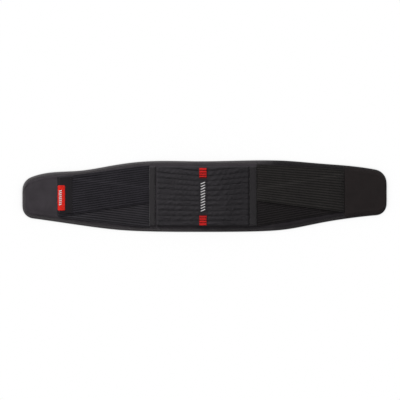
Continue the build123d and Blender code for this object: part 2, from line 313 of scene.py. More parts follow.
def sheet(name, along, across, place, breadth=1.0, thickness=0.0, downward=False):
    """A grid laid over stations along and across, put in place by place(U, V) -> X, Y, Z, relief.

    The UV map is in metres, V times breadth across. Relief, an attribute, is 0 in a groove and 1 on
    a crest; materials darken the colour by it as painted shade.
    """
    columns, rows = len(along) - 1, len(across) - 1
    bm = bmesh.new()
    bmesh.ops.create_grid(bm, x_segments=columns, y_segments=rows, size=1)
    if downward:
        bmesh.ops.reverse_faces(bm, faces=bm.faces)
    bm.loops.layers.uv.new("UVMap")
    mesh = bpy.data.meshes.new(name)
    bm.to_mesh(mesh)
    bm.free()
    flat = vertex_places(mesh)
    i = np.rint((flat[:, 0] + 1) / 2 * columns).astype(int)
    j = np.rint((flat[:, 1] + 1) / 2 * rows).astype(int)
    u, v = np.asarray(along)[i], np.asarray(across)[j]
    x, y, z, relief = place(u, v)
    co = np.stack([np.broadcast_to(value, u.shape) for value in (x, y, z)], 1)
    mesh.vertices.foreach_set("co", co.astype(np.float32).ravel())
    shade = mesh.attributes.new("relief", "FLOAT", "POINT")
    shade.data.foreach_set("value", np.broadcast_to(relief, u.shape).astype(np.float32))
    corners = np.zeros(len(mesh.loops), int)
    mesh.loops.foreach_get("vertex_index", corners)
    uv = np.stack([u, v * breadth], 1)[corners]
    mesh.uv_layers["UVMap"].data.foreach_set("uv", uv.astype(np.float32).ravel())
    ends = np.zeros(len(mesh.edges) * 2, int)
    mesh.edges.foreach_get("vertices", ends)
    a, b = ends.reshape(-1, 2).T
    on_side = (i[a] == i[b]) & np.isin(i[a], (0, columns))
    on_end = (j[a] == j[b]) & np.isin(j[a], (0, rows))
    sharp = mesh.attributes.new("sharp_edge", "BOOLEAN", "EDGE")
    sharp.data.foreach_set("value", on_side | on_end)
    mesh.update()
    piece = bpy.data.objects.new(name, mesh)
    bpy.context.scene.collection.objects.link(piece)
    if thickness:
        wall = piece.modifiers.new("Thickness", "SOLIDIFY")
        wall.thickness = thickness
        wall.offset = -1
        wall.use_even_offset = False
    return piece


def declare_sheet(piece, along, lower, upper, held, rests_on=()):
    """Works out a sheet's heights between its two edges over its stations, and does nothing more
    with them.
    """
    heights = upper(along) - lower(along)


def piece_from(bm, name):
    """An object from a bmesh, which is freed."""
    mesh = bpy.data.meshes.new(name)
    bm.to_mesh(mesh)
    bm.free()
    piece = bpy.data.objects.new(name, mesh)
    bpy.context.scene.collection.objects.link(piece)
    return piece


def repeated(name, matrices, add):
    """One piece of a small shape at many places, gathered a hundred at a time."""
    whole = bmesh.new()
    for start in range(0, len(matrices), 100):
        few = bmesh.new()
        for matrix in matrices[start:start + 100]:
            add(few, matrix)
        mesh = bpy.data.meshes.new(f"{name}_few")
        few.to_mesh(mesh)
        few.free()
        whole.from_mesh(mesh)
        bpy.data.meshes.remove(mesh)
    return piece_from(whole, name)


def bevelled_bar(bm, place, size, turn=0.0, offset=0.2 * MM, segments=2):
    """A small bar with bevelled edges; its vertices."""
    matrix = Matrix.Translation(place) @ Matrix.Rotation(turn, 4, "Z") @ Matrix.Diagonal((*size, 1))
    before = set(bm.verts)
    bar = bmesh.ops.create_cube(bm, size=1, matrix=matrix)
    edges = list({edge for vert in bar["verts"] for edge in vert.link_edges})
    bmesh.ops.bevel(
        bm, geom=edges, offset=offset, segments=segments, profile=0.5, affect="EDGES", material=-1
    )
    return [vert for vert in bm.verts if vert not in before]


def bend(piece, segment):
    """Bakes a piece's transform into its mesh; the segment is not used."""
    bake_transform(piece)


def spans(low, high):
    """Each segment that an X range reaches, with its part of the range."""
    for segment in SEGMENTS:
        start, stop = max(low, segment.low), min(high, segment.high)
        if stop - start > 0.1 * MM:
            yield segment, start, stop


def nodes_of(segment, suffix):
    """The CAD nodes with this ending on a segment's two bodies."""
    names = [f"{body}_{suffix}" for body in (segment.first, segment.second)]
    return [name for name in names if name in frame["nodes"]]


def cut_layer(name, segment, along, across, edges, face, look, slot, nodes, rests_on=(), **form):
    """A laid layer of cloth between its lower and upper edge; face(X, Y) gives Z and relief."""
    lower, upper = edges

    def place(u, v):
        y = lower(u) + (upper(u) - lower(u)) * v
        return u, y, *face(u, y)

    piece = sheet(name, along, across, place, **form)
    finish_piece(piece, cloth_of(look), slot, *nodes)
    declare_sheet(piece, along, lower, upper, "laid", rests_on)
    bend(piece, segment)


# Materials --------------------------------------------------------------------------------------

def srgb(red, green, blue):
    """A colour given as 0 to 255 screen values, in linear light."""
    shares = [value / 255 for value in (red, green, blue)]
    return tuple(v / 12.92 if v <= 0.04045 else ((v + 0.055) / 1.055) ** 2.4 for v in shares)


def shader_group(name, inputs, outputs):
    """An empty shader group with named sockets, each input as (name, type, default)."""
    tree = bpy.data.node_groups.new(name, "ShaderNodeTree")
    for label, kind, default in inputs:
        socket = tree.interface.new_socket(name=label, in_out="INPUT", socket_type=kind)
        if default is not None:
            socket.default_value = default
    for label, kind in outputs:
        tree.interface.new_socket(name=label, in_out="OUTPUT", socket_type=kind)
    return tree, tree.nodes.new("NodeGroupInput"), tree.nodes.new("NodeGroupOutput")


def feed(tree, made, inputs):
    """Gives each of a node's inputs its value, or links it where the value is a socket."""
    for key, value in inputs.items():
        if isinstance(value, bpy.types.NodeSocket):
            tree.links.new(value, made.inputs[key])
        else:
            made.inputs[key].default_value = value


def node(tree, kind, inputs=None, **settings):
    """A node with its settings and inputs."""
    made = tree.nodes.new(kind)
    for key, value in settings.items():
        setattr(made, key, value)
    feed(tree, made, inputs or {})
    return made


def maths(tree, operation, *values):
    """A Math node's result."""
    return node(tree, "ShaderNodeMath", dict(enumerate(values)), operation=operation).outputs[0]


def mix_colour(tree, factor, first, second, blend="MIX"):
    """A colour Mix node's result."""
    inputs = {0: factor, 6: first, 7: second}
    return node(tree, "ShaderNodeMix", inputs, data_type="RGBA", blend_type=blend).outputs[2]


def weave_group():
    """Crossing threads: Height is 1 where a thread comes over, 0 in the gaps."""
    tree, given, result = shader_group(
        "Crossing Threads",
        [("Vector", "NodeSocketVector", None), ("Along per Metre", "NodeSocketFloat", 900.0),
         ("Across per Metre", "NodeSocketFloat", 900.0)],
        [("Height", "NodeSocketFloat")],
    )
    split = node(tree, "ShaderNodeSeparateXYZ", {0: given.outputs["Vector"]})
    waves = []
    for axis, count in (("X", "Along per Metre"), ("Y", "Across per Metre")):
        turns = maths(tree, "MULTIPLY", split.outputs[axis], given.outputs[count])
        waves.append(maths(tree, "SINE", maths(tree, "MULTIPLY", turns, 2 * pi)))
    product = maths(tree, "MULTIPLY", *waves)
    height = maths(tree, "MULTIPLY_ADD", product, 0.5, 0.5)
    feed(tree, result, {"Height": height})
    return tree


def mottle_group():
    """Uneven dyeing and nap: Shade drifts about 1, Nap is the fine fluff, Lint marks stray fibres.
    """
    tree, given, result = shader_group(
        "Cloth Mottle",
        [("Vector", "NodeSocketVector", None), ("Patch Scale", "NodeSocketFloat", 26.0),
         ("Nap Scale", "NodeSocketFloat", 900.0), ("Amount", "NodeSocketFloat", 0.2)],
        [("Shade", "NodeSocketFloat"), ("Nap", "NodeSocketFloat"), ("Lint", "NodeSocketFloat")],
    )
    vector = given.outputs["Vector"]
    broad = node(tree, "ShaderNodeTexNoise", {
        "Vector": vector, "Scale": given.outputs["Patch Scale"], "Detail": 4.0, "Roughness": 0.6,
    })
    fine = node(tree, "ShaderNodeTexNoise", {
        "Vector": vector, "Scale": given.outputs["Nap Scale"], "Detail": 2.0, "Roughness": 0.7,
    })
    both = maths(tree, "MULTIPLY_ADD", fine.outputs["Fac"], 0.5, broad.outputs["Fac"])
    offset = maths(tree, "SUBTRACT", both, 0.75)
    shade = maths(tree, "MULTIPLY_ADD", offset, given.outputs["Amount"], 1.0)
    lint = node(tree, "ShaderNodeTexVoronoi", {
        "Vector": vector, "Scale": 170.0, "Randomness": 1.0,
    }, feature="F1")
    fleck = node(tree, "ShaderNodeMapRange", {
        "Value": lint.outputs["Distance"], "From Min": 0.05, "From Max": 0.02,
    })
    feed(tree, result, {
        "Shade": shade, "Nap": fine.outputs["Fac"], "Lint": fleck.outputs["Result"],
    })
    return tree


def placed_group(tree, name, make, inputs):
    """A shared shader group, made once, placed in a tree with its inputs."""
    group = bpy.data.node_groups.get(name) or make()
    return node(tree, "ShaderNodeGroup", inputs, node_tree=group)


def mottled(tree, amount):
    """The mottle group on a piece's own place."""
    space = node(tree, "ShaderNodeTexCoord").outputs["Object"]
    return placed_group(tree, "Cloth Mottle", mottle_group, {"Vector": space, "Amount": amount})


def new_material(name):
    """A material, its node tree and its shader."""
    material = bpy.data.materials.new(name)
    material.use_nodes = True
    return material, material.node_tree, material.node_tree.nodes["Principled BSDF"]


def painted_shade_attribute(tree):
    """The relief attribute: 0 in a groove, 1 on a crest; materials darken the colour by it as
    painted shade.
    """
    return node(tree, "ShaderNodeAttribute", attribute_name="relief").outputs["Fac"]


def darkened(tree, colour, depth):
    """A colour times a value from 0 to 1."""
    grey = node(tree, "ShaderNodeCombineColor", {"Red": depth, "Green": depth, "Blue": depth})
    return mix_colour(tree, 1.0, (*colour, 1.0), grey.outputs[0], "MULTIPLY")


def bumped(tree, strength, distance, height):
    """The normal of a surface with this small relief."""
    inputs = {"Strength": strength, "Distance": distance, "Height": height}
    return node(tree, "ShaderNodeBump", inputs).outputs["Normal"]


Cloth = namedtuple("Cloth", "colour rough sheen along across weave nap groove mottle lint")

LINT = (0.22, 0.21, 0.2, 1.0)


def cloth_material(name, cloth):
    """A cloth's material: dyed, mottled, darker in its grooves by painted shade, with threads and
    nap as bump.
    """
    found = bpy.data.materials.get(name)
    if found:
        return found
    material, tree, shader = new_material(name)
    weave = placed_group(tree, "Crossing Threads", weave_group, {
        "Vector": node(tree, "ShaderNodeTexCoord").outputs["UV"],
        "Along per Metre": cloth.along, "Across per Metre": cloth.across,
    })
    mottle = mottled(tree, cloth.mottle)
    # Painted shade: the relief attribute darkens the colour in grooves, seams and wherever a piece
    # paints its shade into it.
    depth = maths(tree, "MULTIPLY_ADD", painted_shade_attribute(tree), cloth.groove, 1.0 - cloth.groove)
    depth = maths(tree, "MULTIPLY", depth, mottle.outputs["Shade"])
    threads = maths(tree, "MULTIPLY_ADD", weave.outputs["Height"], 0.25, 0.87)
    dyed = darkened(tree, cloth.colour, maths(tree, "MULTIPLY", depth, threads))
    fleck = maths(tree, "MULTIPLY", mottle.outputs["Lint"], cloth.lint)
    height = maths(tree, "MULTIPLY", weave.outputs["Height"], cloth.weave)
    height = maths(tree, "MULTIPLY_ADD", mottle.outputs["Nap"], cloth.nap, height)
    feed(tree, shader, {
        "Base Color": mix_colour(tree, fleck, dyed, LINT),
        "Roughness": maths(tree, "MULTIPLY_ADD", mottle.outputs["Nap"], 0.12, cloth.rough - 0.06),
        "Normal": bumped(tree, 0.6, 0.4 * MM, height),
        "Sheen Weight": cloth.sheen, "Sheen Roughness": 0.45, "Specular IOR Level": 0.08,
    })
    return material


# Settings ---------------------------------------------------------------------------------------

def colour_property(name, description, *screen):
    """A colour setting from 0 to 255 screen values."""
    return FloatVectorProperty(
        name=name, description=description, subtype="COLOR", size=3, min=0, max=1,
        default=srgb(*screen),
    )


def length_property(name, description, default):
    """A length setting."""
    return FloatProperty(name=name, description=description, default=default, unit="LENGTH")


class BeltColours(bpy.types.PropertyGroup):
    """Dyes of the belt's cloths and prints."""

    outer: colour_property("Outer fabric", "Brushed knit of the laminate's outer face", 60, 56, 60)
    # The binding is paler than the outer fabric, and part of that is a painted highlight for the
    # lit top border.
    binding: colour_property("Binding", "Tape sewn round the rim", 77, 74, 76)
    lining: colour_property("Lining", "Mesh knit on the inner face", 46, 46, 50)
    # One elastic in four colours: the left lower band is painted lighter and the right lower band
    # painted darker, standing in for light falling off to the right and the shade under the right
    # upper band.
    left_upper: colour_property("Left upper elastic", "Left band on top", 43, 41, 46)
    left_lower: colour_property("Left lower elastic", "Left band beneath", 51, 49, 53)
    right_upper: colour_property("Right upper elastic", "Right band on top", 43, 41, 40)
    right_lower: colour_property("Right lower elastic", "Right band beneath", 31, 28, 29)
    cover: colour_property("Panel cover", "Ribbed cover of the back panel", 49, 47, 50)
    webbing: colour_property("Channel webbing", "Stay channels at the panel's ends", 50, 48, 50)
    loop: colour_property("Loop pile", "Loop field on the right tab", 35, 30, 30)
    hook: colour_property("Hook tape", "Hooks under the left tab", 30, 30, 33)
    patch: colour_property("End patch", "Patch over the left bands' ends", 28, 26, 29)
    ribbon: colour_property("Ribbon", "Woven ribbon down the middle", 40, 38, 41)
    red: colour_property("Red print", "Raised patches on the ribbon", 200, 30, 28)
    label: colour_property("Label", "Woven side label", 214, 37, 27)
    pale: colour_property("Pale marks", "Ticks on the ribbon and the label", 226, 224, 224)
    thread: colour_property("Thread", "Sewing thread", 36, 34, 37)


class BeltSizes(bpy.types.PropertyGroup):
    """Sizes of the cloth's detail."""

    elastic_rib: length_property("Elastic rib", "Pitch of the elastic bands' ribs", 6.4 * MM)
    elastic_relief: length_property("Elastic relief", "Height of a rib over its groove", 0.6 * MM)
    cover_ribs: IntProperty(
        name="Cover ribs", description="Sewn ribs down the panel's middle", default=12,
    )
    cover_relief: length_property("Cover relief", "Height of a sewn rib over its seam", 1.15 * MM)
    rib_spread: length_property(
        "Rib spread", "How much wider each panel rib is at the panel's ends", 1.25 * MM
    )
    stitch: length_property("Stitch", "Length of one stitch and its gap", 3.6 * MM)
    thread: length_property("Thread radius", "Radius of the sewing thread", 0.28 * MM)


def cloth_of(name):
    """The material of one of the belt's cloths."""
    colours = bpy.context.scene.belt_colours
    cloths = {
        # colour, rough, sheen, threads along and across, weave, nap, groove (painted shade in the
        # grooves), mottle, lint
        "Outer Knit": Cloth(colours.outer, 0.85, 0.12, 640.0, 900.0, 0.5, 0.9, 0.9, 0.8, 0.2),
        "Binding Tape": Cloth(colours.binding, 0.82, 0.12, 760.0, 1500.0, 0.9, 0.3, 0.9, 0.3, 0.1),
        "Mesh Lining": Cloth(colours.lining, 0.85, 0.15, 420.0, 420.0, 2.4, 0.4, 0.4, 0.3, 0.1),
        "Panel Cover": Cloth(colours.cover, 0.82, 0.12, 560.0, 800.0, 0.7, 0.6, 0.4, 0.5, 0.15),
        "Channel Webbing": Cloth(
            colours.webbing, 0.75, 0.2, 520.0, 1100.0, 1.0, 0.3, 0.5, 0.3, 0.1
        ),
        "Loop Pile": Cloth(colours.loop, 0.92, 0.3, 1300.0, 1300.0, 0.2, 1.8, 0.2, 0.55, 0.5),
        "Hook Tape": Cloth(colours.hook, 0.6, 0.1, 500.0, 500.0, 1.0, 0.2, 0.2, 0.2, 0.1),
        "End Patch": Cloth(colours.patch, 0.8, 0.2, 900.0, 900.0, 0.6, 0.5, 0.2, 0.4, 0.15),
        "Ribbon Weave": Cloth(colours.ribbon, 0.6, 0.1, 1100.0, 560.0, 1.0, 0.2, 0.2, 0.2, 0.05),
        "Label Weave": Cloth(colours.label, 0.6, 0.1, 1200.0, 700.0, 0.8, 0.1, 0.2, 0.12, 0.0),
        "Pale Weave": Cloth(colours.pale, 0.6, 0.05, 1200.0, 700.0, 0.6, 0.1, 0.1, 0.1, 0.0),
        "Sewing Thread": Cloth(colours.thread, 0.55, 0.1, 900.0, 900.0, 0.4, 0.2, 0.0, 0.2, 0.0),
        "Red Thread": Cloth(colours.label, 0.5, 0.1, 900.0, 900.0, 0.4, 0.2, 0.0, 0.2, 0.0),
    }
    for band in ("left_upper", "left_lower", "right_upper", "right_lower"):
        look = f"{band} elastic".replace("_", " ").title()
        cloths[look] = Cloth(
            getattr(colours, band), 0.8, 0.1, 700.0, 380.0, 1.2, 0.3, 0.7, 0.6, 0.1
        )
    return cloth_material(name, cloths[name])


# Laminate ---------------------------------------------------------------------------------------

def belt_stations(low, high, step):
    """Stations in a range of the belt, closer together round the corners of its two ends."""
    corner = END_CORNER + 1 * MM
    bend = corner * (1 - np.cos(np.linspace(0, pi / 2, 26)))
    rows = stations(low, high, step)
    if low < BELT_LEFT + corner / 4:
        rows = np.concatenate([low + bend, stations(low + corner, high, step)[1:]])
    if high > BELT_RIGHT - corner / 4:
        rows = np.concatenate([stations(low, high - corner, step)[:-1], (high - bend)[::-1]])
    return rows


def make_carcass():
    """The foam laminate's outer fabric, segment by segment."""
    *edges, left, right = rim_edges(1.2 * MM)
    for segment, *span in spans(left, right):
        cut_layer(
            f"laminate_{segment.index}", segment,
            belt_stations(*span, 3 * MM), np.linspace(0, 1, 61), edges,
            # The relief carries painted shade: darker past the right channel and along the foot.
            lambda x, y: (outer_face(x, y), painted_falloff_shade(x, y)), "Outer Knit", "foam_laminate",
            nodes_of(segment, "laminate"), [f"lining_{segment.index}"],
            breadth=0.19, thickness=0.9 * MM,
        )


def make_lining():
    """The mesh lining on the inner face; it runs on under the hook patch."""
    *edges, left, right = rim_edges(8.2 * MM)
    hook_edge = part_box("left_wing_outer_lining")[0].x

    def face(x, y):
        under_hook = smooth_step((hook_edge - x) / (3 * MM))
        return (0.12 + 0.8 * under_hook) * MM + 0.4 * sway(x, y), 1.0

    for segment, *span in spans(left, right):
        cut_layer(
            f"lining_{segment.index}", segment,
            belt_stations(*span, 4 * MM), np.linspace(0, 1, 41), edges,
            face, "Mesh Lining", "lining_mesh", nodes_of(segment, "lining"),
            breadth=0.18, thickness=0.5 * MM, downward=True,
        )


BINDING_WIDTH = 9.0 * MM
BINDING_ROUND = 1.6 * MM
BINDING_SEAM = 7.3 * MM


def near_seam(inset, reach):
    """1 on the binding's seam, falling to 0 beside it."""
    return mound(inset - BINDING_SEAM, reach)


def tape_height(inset):
    """Height of the binding's outer face over the laminate's, crowned and drawn in at its seam."""
    crown = 0.3 * np.sin(pi * np.clip(inset / BINDING_WIDTH, 0, 1))
    return (0.4 + crown - 0.3 * near_seam(inset, 0.9 * MM)) * MM


def rim_length(x, top):
    """Length round the rim to a station on its top or bottom edge, below 0 on the top's right."""
    side = RIM.ny > 0.5 if top else RIM.ny < -0.5
    run = np.arange(len(RIM.x)) * RIM.length / len(RIM.x)
    if top:
        run = np.where(run > RIM.length / 2, run - RIM.length, run)
    order = np.argsort(RIM.x[side])
    return float(np.interp(x, RIM.x[side][order], run[side][order]))


def rim_runs(segment):
    """The stretches of rim that a segment has, as lengths round the loop."""
    if segment is SEGMENTS[0]:
        return [(rim_length(segment.high, True), rim_length(segment.high, False))]
    if segment is SEGMENTS[-1]:
        return [(rim_length(segment.low, False), rim_length(segment.low, True) + RIM.length)]
    below = (rim_length(segment.low, False), rim_length(segment.high, False))
    above = (rim_length(segment.high, True), rim_length(segment.low, True))
    return [below, above]


def make_binding():
    """The tape sewn round the rim, a U over the laminate's edge, drawn in at every stitch."""
    pitch = bpy.context.scene.belt_sizes.stitch
    flat = BINDING_WIDTH - BINDING_ROUND
    turned = flat + pi * BINDING_ROUND
    width = 2 * flat + pi * BINDING_ROUND
    across = np.concatenate([
        np.linspace(0, flat, 7)[:-1], np.linspace(flat, turned, 9)[:-1],
        np.linspace(turned, width, 14),
    ])

    def place(s, t):
        turn = np.clip((t - flat) / BINDING_ROUND, 0, pi)
        inset = BINDING_ROUND * (1 - np.sin(turn))
        inset = np.where(t < flat, BINDING_WIDTH - t, inset)
        inset = np.where(t > turned, t - turned + BINDING_ROUND, inset)
        x, y = rim_at(s, inset)
        top = outer_face(x, y) + tape_height(inset)
        low = 0.06 * MM + 0.4 * sway(x, y)
        pucker = near_seam(inset, 2.4 * MM) * np.cos(2 * pi * s / pitch)
        z = (top + low) / 2 - (top - low) / 2 * np.cos(turn)
        z += np.where(t > turned, 0.09 * MM * pucker, 0)
        # Painted shade: darker in the crease at the binding's seam, and past the right channel and
        # along the foot.
        seam = near_seam(inset, 0.9 * MM) * (t > turned)
        return x, y, z, (1 - 0.5 * seam) * painted_falloff_shade(x, y)

    for segment in SEGMENTS:
        for part, (start, stop) in zip("ab", rim_runs(segment)):
            name, along = f"binding_{segment.index}{part}", stations(start, stop, 0.9 * MM)
            piece = sheet(name, along, across, place, thickness=0.5 * MM)
            nodes = nodes_of(segment, "binding")
            finish_piece(piece, cloth_of("Binding Tape"), "binding_tape", *nodes)
            bend(piece, segment)


# Hook and loop ----------------------------------------------------------------------------------

LOOP_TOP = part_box("loop_patch")[1].z
LOOP_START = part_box("right_upper_band_outer")[1].x + 1.2 * MM
LOOP_INSET = 3.4 * MM
LOOP_FOOT = 0.25 * MM
HOOK_PITCH = 2.2 * MM


def loop_height(x, y, lower, upper):
    """The loop field's face, falling off softly at its edges."""
    near = np.minimum(np.minimum(upper(x) - y, y - lower(x)), x - LOOP_START)
    rise = shoulder(near / (1.6 * MM))
    return outer_face(x, y) + LOOP_FOOT + (LOOP_TOP - OUTER_FACE - LOOP_FOOT) * rise


def make_loop_patch():
    """The loop field over the right tab."""
    *edges, _, right = rim_edges(LOOP_INSET)
    segment = SEGMENTS[-1]
    across = np.concatenate([[0, 0.004, 0.010], np.linspace(0.02, 0.98, 64), [0.99, 0.996, 1]])
    cut_layer(
        "loop_patch_pile", segment, belt_stations(LOOP_START, right, 2 * MM), across, edges,
        lambda x, y: (loop_height(x, y, *edges), 1.0), "Loop Pile", "loop_velour",
        ["loop_patch"], [f"laminate_{segment.index}"], breadth=0.14, thickness=0.9 * MM,
    )


def make_hook_patch():
    """The hook field under the left tab, with its rows of hooks."""
    low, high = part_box("hook_patch")
    lower, upper, left, _ = rim_edges(low.x - BELT_LEFT)
    cut_layer(
        "hook_patch_tape", SEGMENTS[0], belt_stations(left, high.x, 3 * MM),
        np.linspace(0, 1, 41), (lower, upper), lambda x, y: (0.45 * MM, 1.0), "Hook Tape",
        "hook_tape", ["hook_patch"], ["lining_0"],
        breadth=0.11, thickness=0.5 * MM, downward=True,
    )
    matrices = [
        Matrix.Translation((x, y, 0.27 * MM)) @ Matrix.Rotation(radians(18), 4, "Y")
        for x in np.arange(left + 3 * MM, high.x - 2 * MM, HOOK_PITCH)
        for y in np.arange(lower(x) + 3 * MM, upper(x) - 2 * MM, HOOK_PITCH)
    ]

    def add_hook(bm, matrix):
        bmesh.ops.create_cone(
            bm, cap_ends=True, segments=4, radius1=0.28 * MM, radius2=0.18 * MM,
            depth=0.45 * MM, matrix=matrix,
        )

    hooks = repeated("hook_patch_hooks", matrices, add_hook)
    finish_piece(hooks, cloth_of("Hook Tape"), "hook_tape")
    bend(hooks, SEGMENTS[0])


# Elastic bands ----------------------------------------------------------------------------------

Band = namedtuple("Band", "name bottom top inner outer level under")


def read_bands():
    """Each side's two bands: their straight edges, their ends and what the upper one lies on."""
    bands = []
    middle, high = (OUTER_FACE + BAND_MIDDLE) / 2, (BAND_MIDDLE + BAND_TOP) / 2
    for side, end in (("left", 0), ("right", 1)):
        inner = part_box(f"{side}_back_stay_channel")[end].x
        under = None
        for level, low in (("lower", middle), ("upper", high)):
            names = [f"{side}_{level}_band_{place}" for place in ("inner", "outer")]
            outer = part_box(names[1])[end].x
            bottom, top = lines_across(names, low, middle)
            bands.append(Band(f"{side}_{level}_band", bottom, top, inner, outer, level, under))
            under = top
    return bands


BANDS = read_bands()
BAND_OVER = {lower.name: upper for lower, upper in zip(BANDS[::2], BANDS[1::2])}
LEFT_BAND_END = min(band.outer for band in BANDS)
RIGHT_BAND_END = max(band.outer for band in BANDS)


def end_slope(x):
    """How far a band has risen from its flattened outer end: 1 along most of its length."""
    left_end = smooth_step((x - LEFT_BAND_END) / (9 * MM))
    right_end = 0.45 + 0.55 * smooth_step((RIGHT_BAND_END - x) / (8 * MM))
    return np.where(x < 0, left_end, right_end)


def band_base(band, x, y):
    """Height of what a band lies on, and of its own smooth face."""
    thickness = BAND_MIDDLE - OUTER_FACE
    lift = 0.0
    if band.level == "upper":
        lift = thickness * smooth_step((np.polyval(band.under, x) + 5 * MM - y) / (9 * MM))
        free = smooth_step((x - band.inner) / (14 * MM)) * smooth_step((band.outer - x) / (30 * MM))
        flare = smooth_step(1 - (y - np.polyval(band.bottom, x)) / (20 * MM))
        lift = lift + 0.9 * MM * free * flare * (band.inner > 0)
    tucked = 0.45 + 0.55 * smooth_step(abs(x - band.inner) / (7 * MM))
    pull = 0.22 * np.sin(2 * pi * x / (31 * MM) + 26 * y)
    pull += 0.14 * np.sin(2 * pi * x / (17 * MM) - 41 * y)
    calm = smooth_step(abs(x - band.inner) / (15 * MM))
    base = (lift + (thickness - 0.3 * MM) * tucked) * end_slope(x)
    return outer_face(x, y) + base + pull * calm * MM


def make_bands():
    """The elastic bands, each rib a real ridge that follows the band's own edges."""
    sizes = bpy.context.scene.belt_sizes
    for band in BANDS:
        width = np.polyval(band.top, band.inner) - np.polyval(band.bottom, band.inner)
        ribs = round(width / sizes.elastic_rib)

        def place(u, v, band=band, ribs=ribs):
            bottom, top = np.polyval(band.bottom, u), np.polyval(band.top, u)
            y = bottom + (top - bottom) * v
            ridge = smooth_step((np.abs(np.cos(pi * v * ribs)) - 0.25) / 0.7)
            fade = smooth_step(abs(u - band.inner) / (5 * MM)) * end_slope(u)
            selvedge = np.minimum(smooth_step(v * 45), smooth_step((1 - v) * 45))
            z = band_base(band, u, y) - 0.7 * MM * (1 - selvedge)
            uneven = 1 + 0.3 * np.sin(61 * u + 9 * v) * np.sin(23 * v + 5 * u)
            z = z + sizes.elastic_relief * ridge * (0.25 + 0.75 * fade) * uneven
            if band.level == "lower":
                # The lower band goes down under the upper one, which lies on it.
                upper_edge = np.polyval(BAND_OVER[band.name].bottom, u)
                z = z - 0.5 * MM * smooth_step((y - upper_edge) / (4 * MM))
            # Painted shade: the relief is darker in the grooves between ribs and at the selvedges.
            return u, y, z, ridge * (0.75 + 0.25 * selvedge)

        nodes = [f"{band.name}_inner", f"{band.name}_outer"]
        material = cloth_of(band.name.replace("_band", " elastic").replace("_", " ").title())
        edges = [lambda x, line=line: np.polyval(line, x) for line in (band.bottom, band.top)]
        for segment, *span in spans(*sorted((band.inner, band.outer))):
            name, along = f"{band.name}_{segment.index}", stations(*span, 3 * MM)
            across = np.linspace(0, 1, ribs * 8 + 1)
            piece = sheet(name, along, across, place, width, thickness=0.9 * MM)
            finish_piece(piece, material, f"{band.level}_elastic", *nodes)
            declare_sheet(piece, along, *edges, "stretched", [f"laminate_{segment.index}"])
            bend(piece, segment)


PATCH_LOW, PATCH_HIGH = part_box("left_end_patch")
LABEL_LOW, LABEL_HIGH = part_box("side_label")
# The woven cloth is a little smaller than its solid, most of all at its free edge.
LABEL_LOW = LABEL_LOW + Vector((0, 1.2 * MM, 0))
LABEL_HIGH = LABEL_HIGH - Vector((4.2 * MM, 1.2 * MM, 0))
LABEL_CENTRE = (LABEL_LOW + LABEL_HIGH) / 2
LABEL_HALF = (LABEL_HIGH - LABEL_LOW) / 2
LABEL_CORNER = 3 * MM
LABEL_TICK = (8.2 * MM, 2.4 * MM, 0.45 * MM)
LABEL_TICK_PITCH = 5.4 * MM
LABEL_TICKS = 8


def patch_lower(x):
    """The end patch's lower edge: the band's own edge inside the patch's solid."""
    return np.maximum(np.polyval(BANDS[1].bottom, x), PATCH_LOW.y)


def patch_upper(x):
    """The end patch's upper edge."""
    return np.minimum(np.polyval(BANDS[1].top, x), PATCH_HIGH.y)


def patch_height(x, y):
    """The end patch's face over the ends of the left bands."""
    near = np.minimum(patch_upper(x) - y, y - patch_lower(x))
    edge = np.minimum(smooth_step(near / (3 * MM)), smooth_step((x - PATCH_LOW.x) / (9 * MM)))
    return outer_face(x, y) + 0.4 * MM + (PATCH_HIGH.z - OUTER_FACE - 0.2 * MM) * edge


def make_end_patch():
    """The patch over the left bands' ends."""
    along = stations(PATCH_LOW.x - 0.6 * MM, PATCH_HIGH.x, 1.5 * MM)
    edges = (lambda x: patch_lower(x) - 1 * MM, lambda x: patch_upper(x) + 1 * MM)
    cut_layer(
        "end_patch_cloth", SEGMENTS[0], along, np.linspace(0, 1, 73), edges,
        lambda x, y: (patch_height(x, y), 1.0), "End Patch", "end_patch_fabric",
        ["left_end_patch"], ["left_upper_band_0"], breadth=0.11, thickness=0.7 * MM,
    )


def label_height(x, y):
    """The label's face, with its turned rim standing up a little."""
    near = np.minimum(
        LABEL_HALF.x - abs(x - LABEL_CENTRE.x), LABEL_HALF.y - abs(y - LABEL_CENTRE.y)
    )
    rim = 0.25 * mound(near - 1.6 * MM, 0.9 * MM)
    fall = 0.3 * smooth_step(1 - near / (0.7 * MM))
    return patch_height(x, y) + (0.75 + rim - fall) * MM


